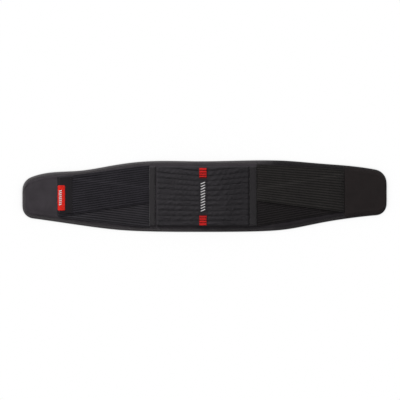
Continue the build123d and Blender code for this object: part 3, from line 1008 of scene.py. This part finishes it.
def make_label():
    """The red side label with its turned rim and plain pale ticks."""
    half = LABEL_HALF

    def place(u, v):
        x, y = LABEL_CENTRE.x + u * half.x, LABEL_CENTRE.y + v * half.y
        flat_x, flat_y = half.x - LABEL_CORNER, half.y - LABEL_CORNER
        out_x, out_y = abs(u) * half.x - flat_x, abs(v) * half.y - flat_y
        corner = (out_x > 0) & (out_y > 0)
        far = np.maximum(np.hypot(out_x, out_y), 1e-9)
        pull = np.where(corner, np.maximum(out_x, out_y) / far, 1.0)
        x = np.where(corner, LABEL_CENTRE.x + np.sign(u) * (flat_x + out_x * pull), x)
        y = np.where(corner, LABEL_CENTRE.y + np.sign(v) * (flat_y + out_y * pull), y)
        return x, y, label_height(x, y), 1.0

    along, across = np.linspace(-1, 1, 27), np.linspace(-1, 1, 75)
    piece = sheet("side_label_cloth", along, across, place, 0.04, thickness=0.6 * MM)
    finish_piece(piece, cloth_of("Label Weave"), "red_label", "side_label")
    bend(piece, SEGMENTS[0])

    bm = bmesh.new()
    for tick in range(LABEL_TICKS):
        x, y = LABEL_CENTRE.x - 2.5 * MM, LABEL_CENTRE.y + (tick - 3.3) * LABEL_TICK_PITCH
        z = float(label_height(np.array(x), np.array(y))) + 0.08 * MM
        bevelled_bar(bm, (x, y, z), LABEL_TICK, radians(20))
    ticks = piece_from(bm, "side_label_ticks")
    finish_piece(ticks, cloth_of("Pale Weave"), "red_label")
    bend(ticks, SEGMENTS[0])


# Back panel -------------------------------------------------------------------------------------

def cover_seam(x, y):
    """0 on a seam of the ribbed cover, 1 midway between two."""
    sizes = bpy.context.scene.belt_sizes
    out = np.clip(abs(x - PANEL_MIDDLE) / COVER_REACH, 0, 1)
    pitch = (PANEL_HIGH.y - PANEL_LOW.y) / sizes.cover_ribs + sizes.rib_spread * out ** 1.3
    waver = 0.5 * MM * np.sin(47 * x + 3 * y) * out
    return np.abs(np.sin(pi * (y - PANEL_LOW.y + waver) / pitch))


def cover_point(x, y):
    """Z and relief of the ribbed cover at a place on the panel; the relief carries painted shade.
    """
    relief = bpy.context.scene.belt_sizes.cover_relief
    seam = cover_seam(x, y)
    plump = 1 + 0.2 * np.sin(37 * x + 48 * y) * np.sin(110 * y + 11 * x)
    edge = np.minimum(y - PANEL_LOW.y, PANEL_HIGH.y - y)
    rise = shoulder(edge / (3.2 * MM))
    to_end = COVER_REACH + 0.5 * MM - abs(x - PANEL_MIDDLE)
    side = np.sqrt(np.clip(to_end / (6 * MM), 0.03, 1))
    crest = PANEL_HIGH.z - OUTER_FACE - relief * (1 - seam ** 0.55) * plump
    # Painted shade: darker in the seams, along the panel's edges, at its ends by the channel gaps,
    # and towards the right.
    groove = 0.25 + 0.75 * np.minimum(seam ** 0.8, smooth_step(edge / (3.5 * MM)))
    painted_shade_right = 1 - 0.62 * smooth_step(x / (80 * MM))
    return OUTER_FACE + sway(x, y) + crest * rise * side, groove * (0.5 + 0.5 * side) * painted_shade_right


SWELL_FRAMES = 20
SWELL_PRESSURE = 4
SWELL_LIMITS = (-0.5 * MM, 1.2 * MM)
RIBBON_HOLD = 13 * MM


def cover_swell():
    """How far the foam pushes the cover out between its seams: a function of X and Y.

    A cloth simulation of the whole cover, pinned at its seams, its rim and under the ribbon.
    """
    along = stations(COVER_LEFT, COVER_RIGHT, 2.4 * MM)
    across = stations(PANEL_LOW.y, PANEL_HIGH.y, 1.7 * MM)
    form = sheet("cover_form", along, across, lambda u, v: (u, v, *cover_point(u, v)))
    start = vertex_places(form.data)
    x, y = start[:, 0], start[:, 1]
    from_middle = abs(x - PANEL_MIDDLE)
    rim = np.minimum(COVER_REACH - from_middle, np.minimum(y - PANEL_LOW.y, PANEL_HIGH.y - y))
    held = (cover_seam(x, y) < 0.3) | (rim < 2 * MM) | (from_middle < RIBBON_HOLD)
    seams = form.vertex_groups.new(name="seams")
    seams.add([int(k) for k in np.flatnonzero(held)], 1.0, "REPLACE")
    cloth = form.modifiers.new("Foam", "CLOTH")
    cloth.point_cache.frame_start, cloth.point_cache.frame_end = 1, SWELL_FRAMES
    settings = cloth.settings
    settings.quality, settings.mass = 5, 0.15
    settings.tension_stiffness = settings.compression_stiffness = 12
    settings.shear_stiffness, settings.bending_stiffness = 4, 0.05
    settings.vertex_group_mass = "seams"
    settings.use_pressure, settings.uniform_pressure_force = True, SWELL_PRESSURE
    settings.shrink_min = -0.05
    settings.effector_weights.gravity = 0
    cloth.collision_settings.use_collision = False
    scene = bpy.context.scene
    for step in range(1, SWELL_FRAMES + 1):
        scene.frame_set(step)
    swollen = form.evaluated_get(bpy.context.evaluated_depsgraph_get()).to_mesh()
    rise = np.clip(vertex_places(swollen)[:, 2] - start[:, 2], *SWELL_LIMITS)
    bpy.data.objects.remove(form)
    scene.frame_set(1)

    def steps(at, row):
        """Places in steps along a row of stations."""
        return (at - row[0]) / (row[1] - row[0])

    grid = np.zeros((len(along), len(across)))
    grid[np.rint(steps(x, along)).astype(int), np.rint(steps(y, across)).astype(int)] = rise

    def swell(at_x, at_y):
        i = np.clip(steps(at_x, along), 0, len(along) - 1.001)
        j = np.clip(steps(at_y, across), 0, len(across) - 1.001)
        i0, j0 = i.astype(int), j.astype(int)
        a, b = i - i0, j - j0
        low = grid[i0, j0] * (1 - b) + grid[i0, j0 + 1] * b
        high = grid[i0 + 1, j0] * (1 - b) + grid[i0 + 1, j0 + 1] * b
        return low * (1 - a) + high * a

    return swell


def make_cover():
    """The ribbed cover over the foam core."""
    swell = cover_swell()
    height = PANEL_HIGH.y - PANEL_LOW.y
    rim = np.array([0, 0.0015, 0.004, 0.008])
    across = np.concatenate([rim, np.linspace(0.013, 0.987, 170), 1 - rim[::-1]])

    def place(u, v):
        y = PANEL_LOW.y + height * v
        z, relief = cover_point(u, y)
        return u, y, z + swell(u, y), relief

    for segment, *span in spans(COVER_LEFT, COVER_RIGHT):
        name, along = f"panel_cover_{segment.index}", stations(*span, 2.5 * MM)
        piece = sheet(name, along, across, place, height, thickness=0.8 * MM)
        nodes = nodes_of(segment, "ribbed_cover") + nodes_of(segment, "foam_core")
        finish_piece(piece, cloth_of("Panel Cover"), "ribbed_cover_fabric", *nodes)
        bend(piece, segment)


def channel_gap(sign):
    """The gap between a channel and the panel: open on the left, nearly closed on the right."""
    return 4.0 * MM if sign < 0 else 1.5 * MM


def channel_span(sign):
    """The outer and inner side of a channel's solid, and its lowest and highest corner."""
    low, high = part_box(f"{'left' if sign < 0 else 'right'}_back_stay_channel")
    outer, inner = (low.x, high.x) if sign < 0 else (high.x, low.x)
    return outer, inner, low, high


def make_channels():
    """The webbing channels that hold the outer stays, plump over the stay."""
    for body, sign in (("left_back", -1), ("right_back", 1)):
        outer, inner, low, high = channel_span(sign)
        inner += sign * channel_gap(sign)
        middle, half, length = (outer + inner) / 2, abs(outer - inner) / 2, high.y - low.y

        def place(u, v, middle=middle, half=half, length=length, low=low, high=high):
            x, y = middle + u * half, low.y + length * v
            edge, ends = shoulder((1 - abs(u)) * 9), shoulder(np.minimum(v, 1 - v) * 60)
            stay = 0.35 * smooth_step((0.6 - abs(u)) / 0.3)
            rise = (high.z - low.z) + (stay - 0.3) * MM
            z = low.z + sway(x, y) + 0.35 * MM + rise * edge * (0.2 + 0.8 * ends)
            # Painted shade: darker where the webbing rounds down at its sides, and the right
            # channel darker all over.
            return x, y, z, (0.5 + 0.5 * edge) * (1 - 0.45 * (x > 0))

        along, across = np.sin(np.linspace(-pi / 2, pi / 2, 41)), np.linspace(0, 1, 101)
        name = f"{body}_channel_webbing"
        piece = sheet(name, along, across, place, length, thickness=0.5 * MM)
        nodes = [f"{body}_stay_channel"]
        finish_piece(piece, cloth_of("Channel Webbing"), "channel_webbing", *nodes)
        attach(piece, body)


RIBBON_LOW, RIBBON_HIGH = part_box("centre_ribbon")
RIBBON_MIDDLE = (RIBBON_LOW.x + RIBBON_HIGH.x) / 2
RIBBON_HALF = (RIBBON_HIGH.x - RIBBON_LOW.x) / 2
RIBBON_TICK = (13 * MM, 2.4 * MM, 0.5 * MM)
RIBBON_TICK_PITCH = 7.6 * MM
RIBBON_MARGIN = 12 * MM


def ribbon_height(x, y):
    """The ribbon's face: it bridges the ribs with a slight dip between them."""
    ribs = bpy.context.scene.belt_sizes.cover_ribs
    share = (y - PANEL_LOW.y) / (PANEL_HIGH.y - PANEL_LOW.y)
    wave = 0.18 * np.cos(2 * pi * share * ribs)
    edge = smooth_step((RIBBON_HALF - abs(x - RIBBON_MIDDLE)) / (1.2 * MM))
    return RIBBON_HIGH.z + sway(x, y) - (wave + 0.1 + 0.35 * (1 - edge)) * MM


def ribbon_top(y):
    """Height of the ribbon's face on its middle line."""
    return float(ribbon_height(np.array(RIBBON_MIDDLE), np.array(y)))


def make_ribbon():
    """The woven ribbon down the middle and its plain tick marks."""
    length = RIBBON_HIGH.y - RIBBON_LOW.y

    def place(u, v):
        x, y = RIBBON_MIDDLE + u * RIBBON_HALF, RIBBON_LOW.y + length * v
        ends = 0.5 * MM * (1 - smooth_step(np.minimum(v, 1 - v) * 70))
        return x, y, ribbon_height(x, y) - ends, 1.0

    along, across = np.sin(np.linspace(-pi / 2, pi / 2, 17)), np.linspace(0, 1, 161)
    piece = sheet("ribbon_cloth", along, across, place, length, thickness=0.7 * MM)
    finish_piece(piece, cloth_of("Ribbon Weave"), "ribbon_weave", "centre_ribbon")
    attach(piece, "centre_back")
    upper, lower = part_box("upper_red_patch")[0].y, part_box("lower_red_patch")[1].y
    count = int((upper - lower - 2 * RIBBON_MARGIN) / RIBBON_TICK_PITCH) + 1
    start = (upper + lower - (count - 1) * RIBBON_TICK_PITCH) / 2
    bm = bmesh.new()
    for tick in range(count):
        y = start + tick * RIBBON_TICK_PITCH
        bevelled_bar(bm, (RIBBON_MIDDLE, y, ribbon_top(y)), RIBBON_TICK, radians(24))
    ticks = piece_from(bm, "ribbon_ticks")
    finish_piece(ticks, cloth_of("Pale Weave"), "ribbon_weave")
    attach(ticks, "centre_back")


RED_BARS = 4
RED_BAR = 5.4 * MM
RED_BAR_GAP = 2.6 * MM
RED_BAR_TAPER = 0.84


def red_material():
    """Raised silicone print: satin, with painted shade darkening the grooves between its bars."""
    found = bpy.data.materials.get("Red Print")
    if found:
        return found
    material, tree, shader = new_material("Red Print")
    mottle = mottled(tree, 0.25)
    depth = maths(tree, "MULTIPLY_ADD", painted_shade_attribute(tree), 0.88, 0.12)
    depth = maths(tree, "MULTIPLY", mottle.outputs["Shade"], depth)
    feed(tree, shader, {
        "Base Color": darkened(tree, bpy.context.scene.belt_colours.red, depth),
        "Roughness": maths(tree, "MULTIPLY_ADD", mottle.outputs["Nap"], 0.15, 0.4),
        "Normal": bumped(tree, 0.3, 0.2 * MM, mottle.outputs["Nap"]),
        "Specular IOR Level": 0.15,
    })
    return material


def make_red_patches():
    """The red patch at each end of the ribbon, with bars that narrow towards the middle."""
    for name, inward in (("upper_red_patch", -1), ("lower_red_patch", 1)):
        low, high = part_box(name)
        outer, middle = (high.y if inward < 0 else low.y), (low.y + high.y) / 2
        width, length, base = high.x - low.x, high.y - low.y, ribbon_top(middle)
        bm = bmesh.new()
        relief = bm.verts.layers.float.new("relief")

        def add_bar(y, z, size, depth, bm=bm, relief=relief, **edge):
            for vert in bevelled_bar(bm, (RIBBON_MIDDLE, y, z), size, **edge):
                vert[relief] = depth

        # The base plate's low relief paints shade between the bars.
        add_bar(middle, base + 0.15 * MM, (width, length, 0.7 * MM), 0.1)
        start, bar = outer + inward * 0.8 * MM, RED_BAR
        for _ in range(RED_BARS):
            add_bar(
                start + inward * bar / 2, base + 0.8 * MM, (width - 1.2 * MM, bar, 0.9 * MM), 1.0,
                offset=0.35 * MM, segments=3,
            )
            start += inward * (bar + RED_BAR_GAP)
            bar *= RED_BAR_TAPER
        piece = piece_from(bm, f"{name}_print")
        finish_piece(piece, red_material(), "red_rubber", name)
        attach(piece, "centre_back")


# Sewing -----------------------------------------------------------------------------------------

# Thread covers this much of a stitch's pitch; the rest is its gap.
STITCH_SHARE = 0.72
TACK_REACH = 1.6 * MM
TACK_PITCH = 3.2 * MM


def resample(points, pitch):
    """Places and directions every pitch along a dense line of points."""
    points = np.asarray(points, float)
    run = np.concatenate([[0], np.cumsum(np.linalg.norm(np.diff(points, axis=0), axis=1))])
    count = max(2, int(run[-1] / pitch))
    spots = (np.arange(count) + 0.5) * run[-1] / count
    at = [np.stack([np.interp(spots + shift, run, points[:, i]) for i in range(3)], 1)
          for shift in (-0.3 * pitch, 0, 0.3 * pitch)]
    return at[1], at[2] - at[0]


def points_on(x, y, height):
    """A row of points, their Z given by height(X, Y)."""
    return np.stack([x, y, height(x, y)], 1)


def rim_row(height):
    """A row of points right round the rim, along the binding's seam."""
    run = np.linspace(0, RIM.length, 3000, endpoint=False)
    return points_on(*rim_at(run, BINDING_SEAM), height)


def straight_row(x, low, high, height):
    """A row of points across the belt at a station."""
    return points_on(np.full(200, x), np.linspace(low, high, 200), height)


def long_row(low, high, level, height):
    """A row of points along the belt, its Y given by level(X)."""
    x = np.linspace(low, high, 300)
    return points_on(x, level(x), height)


def zigzag_row(x, low, high, height):
    """A zigzag across the belt at a station."""
    turns = int((high - low) / TACK_PITCH)
    t = np.linspace(0, turns, turns * 8 + 1)
    swing = abs((t % 2) - 1) * 2 - 1
    return points_on(x + TACK_REACH * swing, low + (high - low) * t / turns, height)


def rim_rows():
    """The seam that holds the binding, on the outer and on the inner face."""
    return [
        rim_row(lambda x, y: outer_face(x, y) + tape_height(BINDING_SEAM) + 0.12 * MM),
        rim_row(lambda x, y: 0.16 * MM + 0.4 * sway(x, y)),
    ]


def loop_rows():
    """Stitches along the loop field's long sides and two rows across its inner end."""
    *edges, _, _ = rim_edges(LOOP_INSET)
    lower, upper, _, right = rim_edges(8 * MM)

    def on_loop(x, y):
        return loop_height(x, y, *edges) + 0.05 * MM

    start = LOOP_START + 3 * MM
    rows = [
        long_row(start, right - 22 * MM, upper, on_loop),
        long_row(start, right - 18 * MM, lower, on_loop),
    ]
    for x in (start, start + 3 * MM):
        rows.append(straight_row(x, lower(x) + 1 * MM, upper(x) - 1 * MM, on_loop))
    return rows


def panel_rows():
    """Stitches on the channels, beside them on the panel, and along the ribbon's sides."""
    rows = []
    for sign in (-1, 1):
        outer, inner, low, high = channel_span(sign)
        ends = low.y + 2 * MM, high.y - 2 * MM
        face = high.z + 0.35 * MM
        for x in (outer - sign * 2.2 * MM, inner + sign * (channel_gap(sign) + 2.0 * MM)):
            rows.append(straight_row(x, *ends, lambda a, b, face=face: face + sway(a, b)))
        rows.append(straight_row(
            inner - sign * 3 * MM, *ends, lambda a, b: cover_point(a, b)[0] + 0.1 * MM
        ))
        rows.append(straight_row(
            RIBBON_MIDDLE + sign * (RIBBON_HALF - 1.5 * MM), RIBBON_LOW.y + 1 * MM,
            RIBBON_HIGH.y - 1 * MM, lambda a, b: ribbon_height(a, b) + 0.02 * MM,
        ))
    return rows


def tack_rows():
    """Zigzag tacks across the outer end of the right upper band."""
    band, rows = BANDS[-1], []
    for offset in (3, 9, 15):
        x = band.outer - offset * MM
        low, high = np.polyval(band.bottom, x) + 1 * MM, np.polyval(band.top, x) - 1 * MM
        rows.append(zigzag_row(x, low, high, lambda a, b: band_base(band, a, b) + 0.75 * MM))
    return rows


def patch_rows():
    """Stitches along the end patch's edges and two rows across its inner end."""
    def on_patch(x, y):
        return patch_height(x, y) + 0.05 * MM

    low, high = PATCH_LOW.x + 1 * MM, PATCH_HIGH.x - 1 * MM
    rows = [
        long_row(low, high, lambda x: patch_upper(x) - 2 * MM, on_patch),
        long_row(low, high, lambda x: patch_lower(x) + 2 * MM, on_patch),
    ]
    for x in (PATCH_HIGH.x - 2 * MM, PATCH_HIGH.x - 5 * MM):
        rows.append(straight_row(x, PATCH_LOW.y + 3 * MM, PATCH_HIGH.y - 3 * MM, on_patch))
    return rows


def label_row():
    """Stitches round the label."""
    half_x, half_y = LABEL_HALF.x - 1.7 * MM, LABEL_HALF.y - 1.7 * MM
    corners = [(-1, -1), (1, -1), (1, 1), (-1, 1), (-1, -1)]
    points = []
    for (ax, ay), (bx, by) in zip(corners, corners[1:]):
        for share in np.linspace(0, 1, 60, endpoint=False):
            x = LABEL_CENTRE.x + half_x * (ax + (bx - ax) * share)
            y = LABEL_CENTRE.y + half_y * (ay + (by - ay) * share)
            points.append((x, y, float(patch_height(np.array(x), np.array(y))) + 1.0 * MM))
    return points


def sew(rows, name, material, slot):
    """Stitches along rows of points, gathered into one piece for each segment."""
    sizes = bpy.context.scene.belt_sizes
    half_stitch = STITCH_SHARE * sizes.stitch / 2
    stitch_size = Matrix.Diagonal((half_stitch, sizes.thread, sizes.thread, 1))
    places = {}
    for row in rows:
        for spot, along in zip(*resample(row, sizes.stitch)):
            segment = next(s for s in SEGMENTS if s.low <= spot[0] < s.high)
            turn = Vector(along).to_track_quat("X", "Z").to_matrix().to_4x4()
            matrix = Matrix.Translation(spot) @ turn @ stitch_size
            places.setdefault(segment.index, []).append(matrix)

    def add_stitch(bm, matrix):
        bmesh.ops.create_icosphere(bm, subdivisions=1, radius=1, matrix=matrix)

    for index, matrices in places.items():
        piece = repeated(f"{name}_{index}", matrices, add_stitch)
        finish_piece(piece, material, slot)
        bend(piece, SEGMENTS[index])


def make_stitching():
    """All the belt's visible stitching."""
    rows = rim_rows() + loop_rows() + panel_rows() + tack_rows() + patch_rows()
    sew(rows, "thread", cloth_of("Sewing Thread"), "binding_tape")
    sew([label_row()], "label_thread", cloth_of("Red Thread"), "red_label")


# Inner pieces -----------------------------------------------------------------------------------

def plain_material(name, colour, rough, metallic):
    """A worn solid material for the pieces inside: fine scratches in its roughness and bump."""
    material, tree, shader = new_material(name)
    stretched = node(tree, "ShaderNodeMapping", {
        "Vector": node(tree, "ShaderNodeTexCoord").outputs["Object"],
        "Scale": (900.0, 40.0, 900.0),
    })
    grain = node(tree, "ShaderNodeTexNoise", {
        "Vector": stretched.outputs[0], "Scale": 1.0, "Detail": 3.0,
    }).outputs["Fac"]
    dark, pale = ((*[min(1, v * share) for v in colour], 1) for share in (0.85, 1.12))
    feed(tree, shader, {
        "Base Color": mix_colour(tree, grain, dark, pale),
        "Roughness": maths(tree, "MULTIPLY_ADD", grain, 0.2, rough - 0.1),
        "Normal": bumped(tree, 0.2, 0.1 * MM, grain),
        "Metallic": metallic,
    })
    return material


def finish_inner_pieces():
    """Steel for the stays and moulded plastic for their tips, inside the panel."""
    steel = plain_material("Blued Steel", (0.42, 0.43, 0.45), 0.35, 1.0)
    plastic = plain_material("Tip Plastic", (0.05, 0.05, 0.055), 0.5, 0.0)
    looks = {"_stay": steel, "_stays": steel, "_stay_tips": plastic}
    for name, cad in frame["nodes"].items():
        for ending, material in looks.items():
            if name.endswith(ending):
                cad.data.materials.clear()
                cad.data.materials.append(material)


# Stage ------------------------------------------------------------------------------------------

CAMERA_PLACE = (-12.7 * MM, -11.0 * MM, 3.1)
SENSOR_WIDTH = 36
FRAME_WIDTH = 1.120
FLOOR_REACH = 3
SHADOW_REACH = 0.3
WHITE = (1, 1, 1, 1)
SOFT_LIGHT = 0.15

# name, watts, size, place, aimed at
LAMPS = (
    ("key", 103.0, 1.1, (-1.35, 2.1, 1.05), (-0.1, 0, 0)),
    ("fill", 10.0, 2.0, (0.6, -0.6, 2.6), (0, 0, 0)),
    ("side", 12.0, 1.2, (1.9, -1.5, 0.42), (0.15, 0, 0)),
    ("under", 85.0, 2.0, (0.3, -0.6, -2.4), (0, 0, 0)),
)


def make_floor():
    """A white floor, clear as glass apart from the soft shadow of whatever is near it.

    The folded-down end of the belt shows through it, and light passes it to the inner face.
    """
    bm = bmesh.new()
    bmesh.ops.create_grid(bm, x_segments=1, y_segments=1, size=FLOOR_REACH)
    floor = piece_from(bm, "floor")
    material = bpy.data.materials.new("White Floor")
    material.use_nodes = True
    tree = material.node_tree
    tree.nodes.clear()
    near = node(tree, "ShaderNodeAmbientOcclusion", {"Distance": SHADOW_REACH}, samples=16)
    camera = node(tree, "ShaderNodeLightPath").outputs["Is Camera Ray"]
    shadow = mix_colour(tree, camera, WHITE, near.outputs["Color"])
    clear = node(tree, "ShaderNodeBsdfTransparent", {"Color": shadow})
    node(tree, "ShaderNodeOutputMaterial", {"Surface": clear.outputs[0]})
    floor.data.materials.append(material)


def make_world():
    """White to the camera, soft studio light to the belt."""
    world = bpy.data.worlds.new("Studio")
    bpy.context.scene.world = world
    world.use_nodes = True
    tree = world.node_tree
    tree.nodes.clear()
    path = node(tree, "ShaderNodeLightPath")
    seen = maths(tree, "MAXIMUM", path.outputs["Is Camera Ray"], path.outputs["Is Glossy Ray"])
    seen = maths(tree, "MAXIMUM", seen, path.outputs["Is Transmission Ray"])
    soft = node(tree, "ShaderNodeBackground", {"Color": WHITE, "Strength": SOFT_LIGHT})
    white = node(tree, "ShaderNodeBackground", {"Color": WHITE, "Strength": 1.0})
    both = node(tree, "ShaderNodeMixShader", {0: seen, 1: soft.outputs[0], 2: white.outputs[0]})
    node(tree, "ShaderNodeOutputWorld", {"Surface": both.outputs[0]})


def make_lamp(name, energy, size, place, target):
    """A soft area lamp aimed at a point."""
    data = bpy.data.lights.new(name, "AREA")
    data.energy, data.size = energy, size
    lamp = bpy.data.objects.new(name, data)
    lamp.location = place
    lamp.rotation_euler = (Vector(target) - Vector(place)).to_track_quat("-Z", "Y").to_euler()
    bpy.context.scene.collection.objects.link(lamp)


def make_camera():
    """Straight above the belt, long-lensed, with the wearer's up at the top."""
    data = bpy.data.cameras.new("camera")
    data.sensor_width = SENSOR_WIDTH
    data.lens = SENSOR_WIDTH * CAMERA_PLACE[2] / FRAME_WIDTH
    camera = bpy.data.objects.new("camera", data)
    camera.location = CAMERA_PLACE
    bpy.context.scene.collection.objects.link(camera)
    bpy.context.scene.camera = camera


def make_stage():
    """Floor, light, world and camera."""
    bpy.context.scene.view_settings.view_transform = "Standard"
    make_floor()
    make_world()
    for lamp in LAMPS:
        make_lamp(*lamp)
    make_camera()


# Add-on -----------------------------------------------------------------------------------------

class BELT_OT_carcass(bpy.types.Operator):
    """The foam laminate's outer fabric, segment by segment."""

    bl_idname = "belt.carcass"
    bl_label = "Laminate"

    def execute(self, context):
        make_carcass()
        return {"FINISHED"}


class BELT_OT_lining(bpy.types.Operator):
    """The mesh lining on the inner face; it runs on under the hook patch."""

    bl_idname = "belt.lining"
    bl_label = "Lining"

    def execute(self, context):
        make_lining()
        return {"FINISHED"}


class BELT_OT_binding(bpy.types.Operator):
    """The tape sewn round the rim, a U over the laminate's edge, drawn in at every stitch."""

    bl_idname = "belt.binding"
    bl_label = "Binding"

    def execute(self, context):
        make_binding()
        return {"FINISHED"}


class BELT_OT_loop_patch(bpy.types.Operator):
    """The loop field over the right tab."""

    bl_idname = "belt.loop_patch"
    bl_label = "Loop patch"

    def execute(self, context):
        make_loop_patch()
        return {"FINISHED"}


class BELT_OT_hook_patch(bpy.types.Operator):
    """The hook field under the left tab, with its rows of hooks."""

    bl_idname = "belt.hook_patch"
    bl_label = "Hook patch"

    def execute(self, context):
        make_hook_patch()
        return {"FINISHED"}


class BELT_OT_bands(bpy.types.Operator):
    """The elastic bands, each rib a real ridge that follows the band's own edges."""

    bl_idname = "belt.bands"
    bl_label = "Elastic bands"

    def execute(self, context):
        make_bands()
        return {"FINISHED"}


class BELT_OT_end_patch(bpy.types.Operator):
    """The patch over the left bands' ends."""

    bl_idname = "belt.end_patch"
    bl_label = "End patch"

    def execute(self, context):
        make_end_patch()
        return {"FINISHED"}


class BELT_OT_label(bpy.types.Operator):
    """The red side label with its turned rim and plain pale ticks."""

    bl_idname = "belt.label"
    bl_label = "Side label"

    def execute(self, context):
        make_label()
        return {"FINISHED"}


class BELT_OT_cover(bpy.types.Operator):
    """The ribbed cover over the foam core."""

    bl_idname = "belt.cover"
    bl_label = "Panel cover"

    def execute(self, context):
        make_cover()
        return {"FINISHED"}


class BELT_OT_channels(bpy.types.Operator):
    """The webbing channels that hold the outer stays, plump over the stay."""

    bl_idname = "belt.channels"
    bl_label = "Stay channels"

    def execute(self, context):
        make_channels()
        return {"FINISHED"}


class BELT_OT_ribbon(bpy.types.Operator):
    """The woven ribbon down the middle and its plain tick marks."""

    bl_idname = "belt.ribbon"
    bl_label = "Ribbon"

    def execute(self, context):
        make_ribbon()
        return {"FINISHED"}


class BELT_OT_red_patches(bpy.types.Operator):
    """The red patch at each end of the ribbon, with bars that narrow towards the middle."""

    bl_idname = "belt.red_patches"
    bl_label = "Red patches"

    def execute(self, context):
        make_red_patches()
        return {"FINISHED"}


class BELT_OT_stitching(bpy.types.Operator):
    """All the belt's visible stitching."""

    bl_idname = "belt.stitching"
    bl_label = "Stitching"

    def execute(self, context):
        make_stitching()
        return {"FINISHED"}


class BELT_OT_inner_pieces(bpy.types.Operator):
    """Steel for the stays and moulded plastic for their tips, inside the panel."""

    bl_idname = "belt.inner_pieces"
    bl_label = "Inner pieces"

    def execute(self, context):
        finish_inner_pieces()
        return {"FINISHED"}


class BELT_OT_stage(bpy.types.Operator):
    """Floor, light, world and camera."""

    bl_idname = "belt.stage"
    bl_label = "Stage"

    def execute(self, context):
        make_stage()
        return {"FINISHED"}


OPERATORS = [
    BELT_OT_carcass,
    BELT_OT_lining,
    BELT_OT_binding,
    BELT_OT_loop_patch,
    BELT_OT_hook_patch,
    BELT_OT_bands,
    BELT_OT_end_patch,
    BELT_OT_label,
    BELT_OT_cover,
    BELT_OT_channels,
    BELT_OT_ribbon,
    BELT_OT_red_patches,
    BELT_OT_stitching,
    BELT_OT_inner_pieces,
    BELT_OT_stage,
]


class BELT_PT_panel(bpy.types.Panel):
    """Lists the belt's pieces."""

    bl_label = "Lumbar Support Belt"
    bl_space_type = "VIEW_3D"
    bl_region_type = "UI"
    bl_category = "Belt"

    def draw(self, context):
        for operator in OPERATORS:
            self.layout.operator(operator.bl_idname)


CLASSES = [BeltColours, BeltSizes, *OPERATORS, BELT_PT_panel]


def register():
    for cls in CLASSES:
        bpy.utils.register_class(cls)
    bpy.types.Scene.belt_colours = PointerProperty(type=BeltColours)
    bpy.types.Scene.belt_sizes = PointerProperty(type=BeltSizes)


def unregister():
    del bpy.types.Scene.belt_sizes
    del bpy.types.Scene.belt_colours
    for cls in reversed(CLASSES):
        bpy.utils.unregister_class(cls)


def main():
    register()
    for operator in OPERATORS:
        getattr(bpy.ops.belt, operator.bl_idname.split(".")[1])()


if __name__ == "__main__":
    main()
